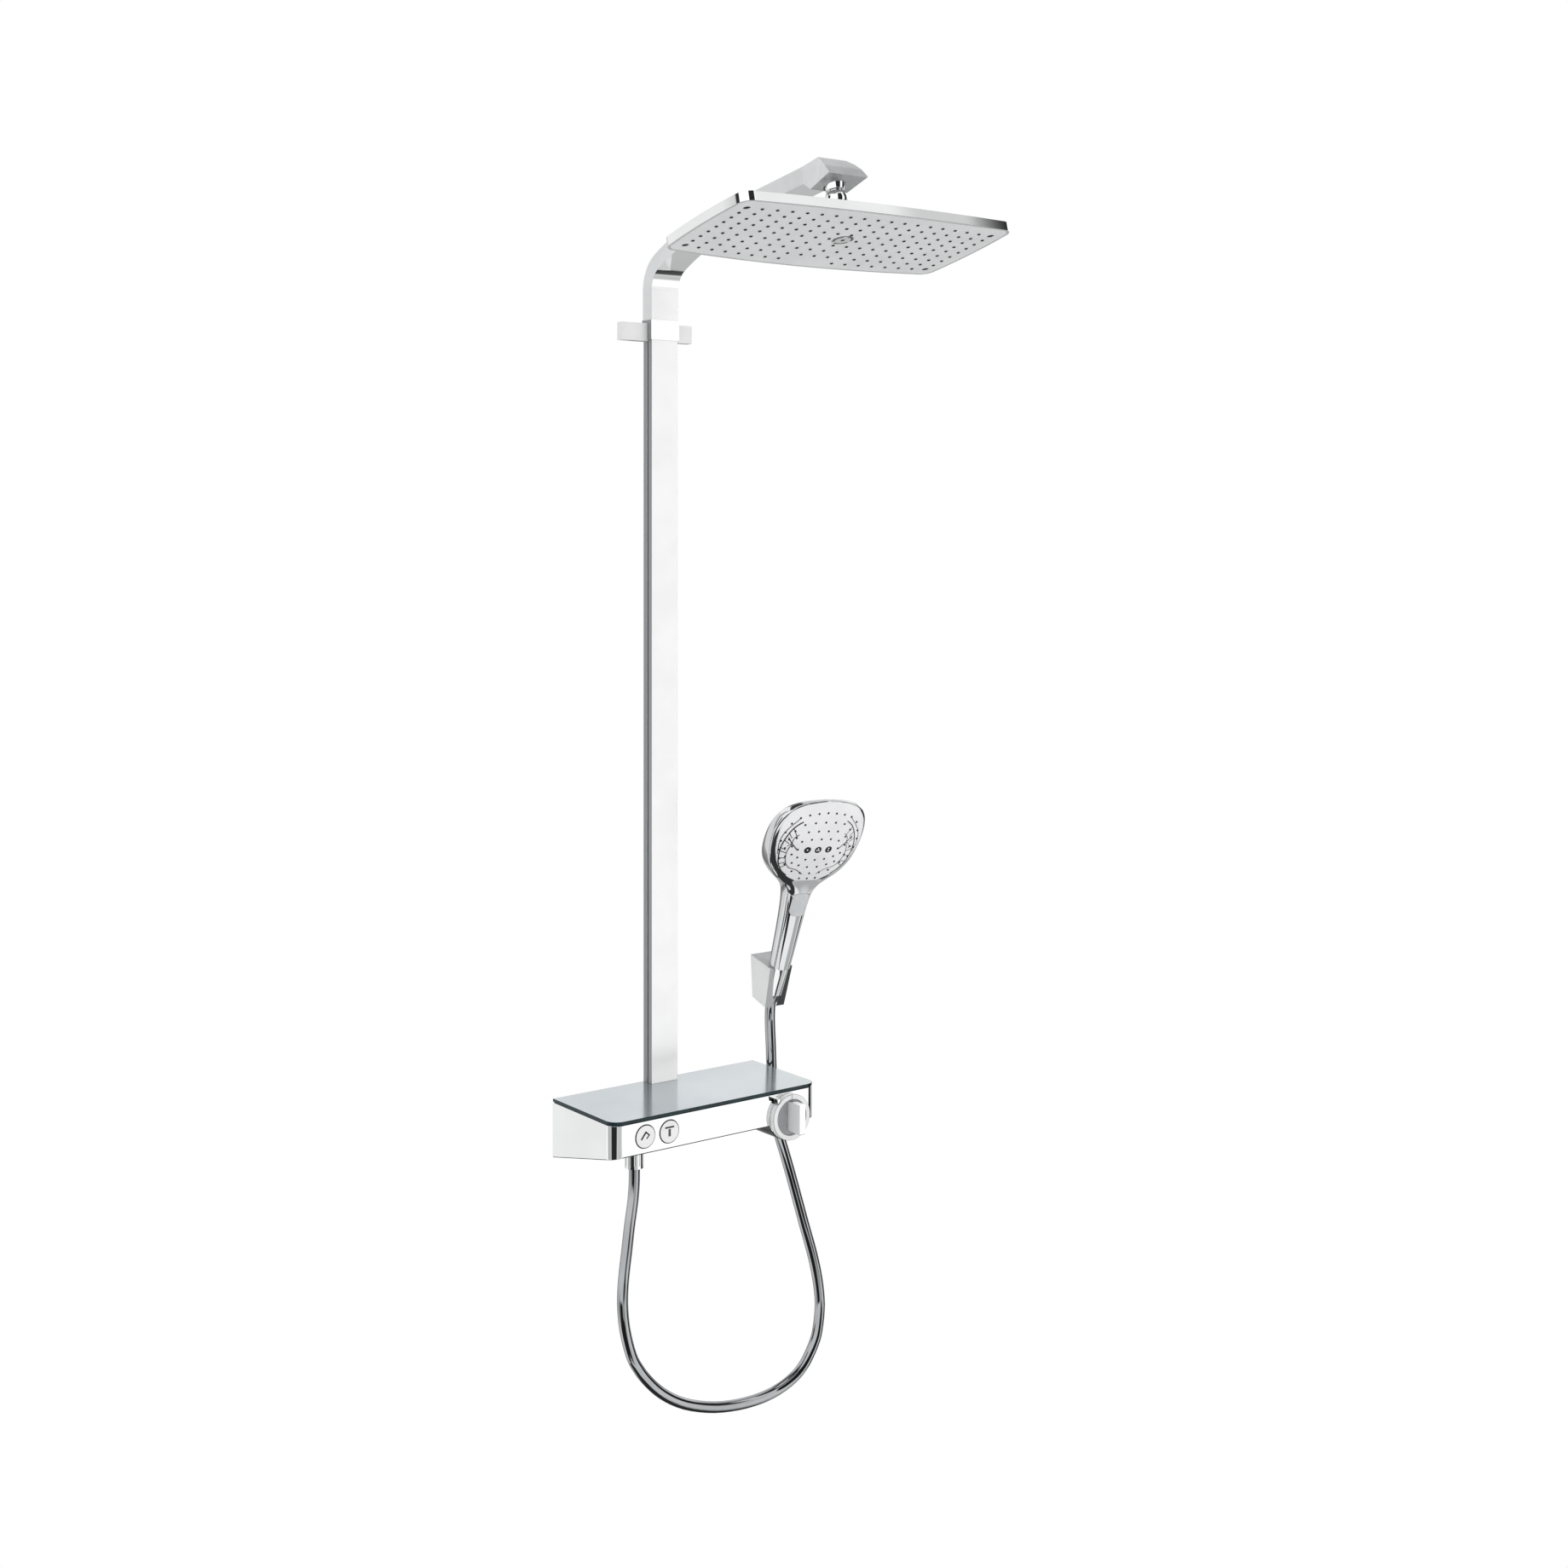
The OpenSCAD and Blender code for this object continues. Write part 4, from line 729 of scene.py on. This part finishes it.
lastSection = len(handset["sections"]) - 1
shell = newPiece("handsetShellSkin", gripSkin(0, 0, lastSection), "chromePlatedAbs", handset["sharp"])
cutOut(shell, gripSkin(handset["wall"], *handset["hollow"]))
cutOut(shell, moved(slab([faceOutline()], *handset["faceDepth"]), faceFrame))
cutOut(shell, moved(slab([windowOutline()], *handset["window"]["depth"]), gripFrame))
bore = bmesh.new()
bmesh.ops.create_cone(bore, cap_ends=True, segments=handset["boreSides"], radius1=handset["bore"] * mm,
                      radius2=handset["bore"] * mm, depth=handset["boreLength"] * mm)
cutOut(shell, moved(bore, gripFrame))
shell.data.set_sharp_from_angle(angle=math.radians(handset["sharp"]))
rim = shell.modifiers.new("edges", "BEVEL")
rim.width, rim.segments, rim.limit_method = handset["edge"] * mm, 3, "ANGLE"
rim.angle_limit = math.radians(handset["sharp"])
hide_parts("handset_shell")
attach(shell, bodyOf["handset_shell"])


def crown(x, z):  # depth of the domed face, in the face's own frame
    dome = handset["dome"]
    return dome["top"] + dome["radius"] - math.sqrt(dome["radius"] ** 2 - x * x - (z - dome["middle"]) ** 2)


grooves = {  # radius of each line, and its points from the middle of the face, on the left half
    "sides": 8, "rightShare": 0.7,
    "lines": [
        (0.85, [(-32.9, 35.1), (-41.7, 28.5), (-49.1, 17.1), (-54.1, 0.6), (-54.1, -14.5), (-50, -29.9),
                (-41.5, -42), (-33.4, -48.1)]),
        (0.5, [(-38.4, 39.4), (-46.6, 30.5), (-54.2, 19.9), (-58.1, 8.3), (-57.8, -4), (-56, -14)]),
        (0.55, [(-43.4, -3.6), (-44.6, -12.1), (-42.9, -22.3), (-38.6, -30.9), (-33.1, -36.1)]),
        (0.55, [(-34.1, 16.3), (-40, 10.5), (-41.2, 1.5), (-43.6, -5.3)]),
        (0.7, [(-47.7, 11.6), (-40.9, 3.1), (-30.3, -7.2)]),
        (0.5, [(-33.1, -36.1), (-21.1, -39.5), (-10.6, -47)]),
        (0.5, [(-48.8, 18.7), (-43.1, 11.1)]), (0.5, [(-52.3, 7.2), (-45.3, 2.9)]),
        (0.5, [(-55.8, -3.7), (-46.8, -7.2)]), (0.5, [(-52.3, -20.4), (-43.7, -19.8)]),
        (0.5, [(-45.5, -35.5), (-38.6, -30.9)]), (0.5, [(-43.5, 24.5), (-37.2, 14.5)]),
        (0.5, [(-54.1, -9), (-44.6, -12.1)]), (0.5, [(-50, -29.9), (-40.8, -26.6)]),
        (0.5, [(-40.9, 3.1), (-46.4, -1.2)]),
    ],
}


def tubes(lines, sides):
    # thin tubes that lie half sunk along lines on the domed face
    bm = bmesh.new()
    for radius, points in lines:
        fine = smoothRoute(smoothRoute([Vector((x, 0, z)) for x, z in points]))
        path = [faceFrame @ Vector((q.x, crown(q.x, q.z), q.z)) * mm for q in fine]
        one = bpy.data.meshes.new("line")
        tube = sweepTube(path, radius * mm, sides)
        tube.to_mesh(one)
        tube.free()
        bm.from_mesh(one)
        bpy.data.meshes.remove(one)
    return bm


leftLines = grooves["lines"]
rightLines = [(radius * grooves["rightShare"], [(-x, z) for x, z in points]) for radius, points in leftLines]
grooveTubes = tubes(leftLines + rightLines, grooves["sides"])
groovePiece = newPiece("handsetFaceGrooves", grooveTubes, "mouldedSilicone")
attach(groovePiece, bodyOf["handset_face"])

marks = {  # one dot, three dots and two dots, each group round its own middle on one line across the face
    "height": -6.8, "radius": 1.1, "corners": 10, "depth": (0.1, 1),
    "groups": {-15.7: [(0, 0)], 0: [(-1.5, -0.9), (1.5, -0.9), (0, 1.6)], 15.7: [(0, 1.7), (0, -1.7)]},
}
dots = bmesh.new()
for x, group in marks["groups"].items():
    depth = [crown(x, marks["height"]) + d for d in marks["depth"]]
    for dx, dz in group:
        corners = [2 * math.pi * k / marks["corners"] for k in range(marks["corners"])]
        dot = [(marks["radius"] * math.cos(a), marks["radius"] * math.sin(a)) for a in corners]
        slab(shifted([dot], x + dx, marks["height"] + dz), *depth, dots)
markPiece = newPiece("sprayMarks", moved(dots, faceFrame), "glossyPaleAbs")
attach(markPiece, bodyOf["handset_face"])
print("handset is made")

plainParts = {  # nodes that keep their own mesh, by finish
    "turnedSteel": ["wall_plate", "body_grub_screws", "riser_tube", "bracket_lugs", "bracket_grub_screws",
                    "column_joint", "arm_tube", "ball_stud", "holder_plate"],
    "blackenedSteel": ["head_screws"],
    "machinedBrass": ["waterway_block", "inlet_union_left", "inlet_union_right", "union_nut_left",
                      "union_nut_right", "riser_elbow", "handset_nipple"],
    "mouldedWhiteAcetal": ["check_valves", "thermostat_cartridge", "select_valve_hand",
                           "select_valve_overhead", "handle_sleeve", "seat_ring", "flow_plate"],
    "blackRubber": ["shelf_gasket", "inlet_washers", "ball_seal", "outlet_washer", "handset_filter"],
    "mouldedSilicone": ["nozzle_mat", "handset_nozzles"],
    "mouldedGreyAbs": ["holder_liner"],
    "satinChromePlate": ["spray_face"],
    "glossyPaleAbs": ["handset_face"],
}
for material, nodes in plainParts.items():
    for node in nodes:
        piece = frame["nodes"][node]
        if not piece.material_slots:
            piece.data.materials.append(finish[material])
        for slot in piece.material_slots:
            slot.material = finish[material]
print("the other parts have their finish")
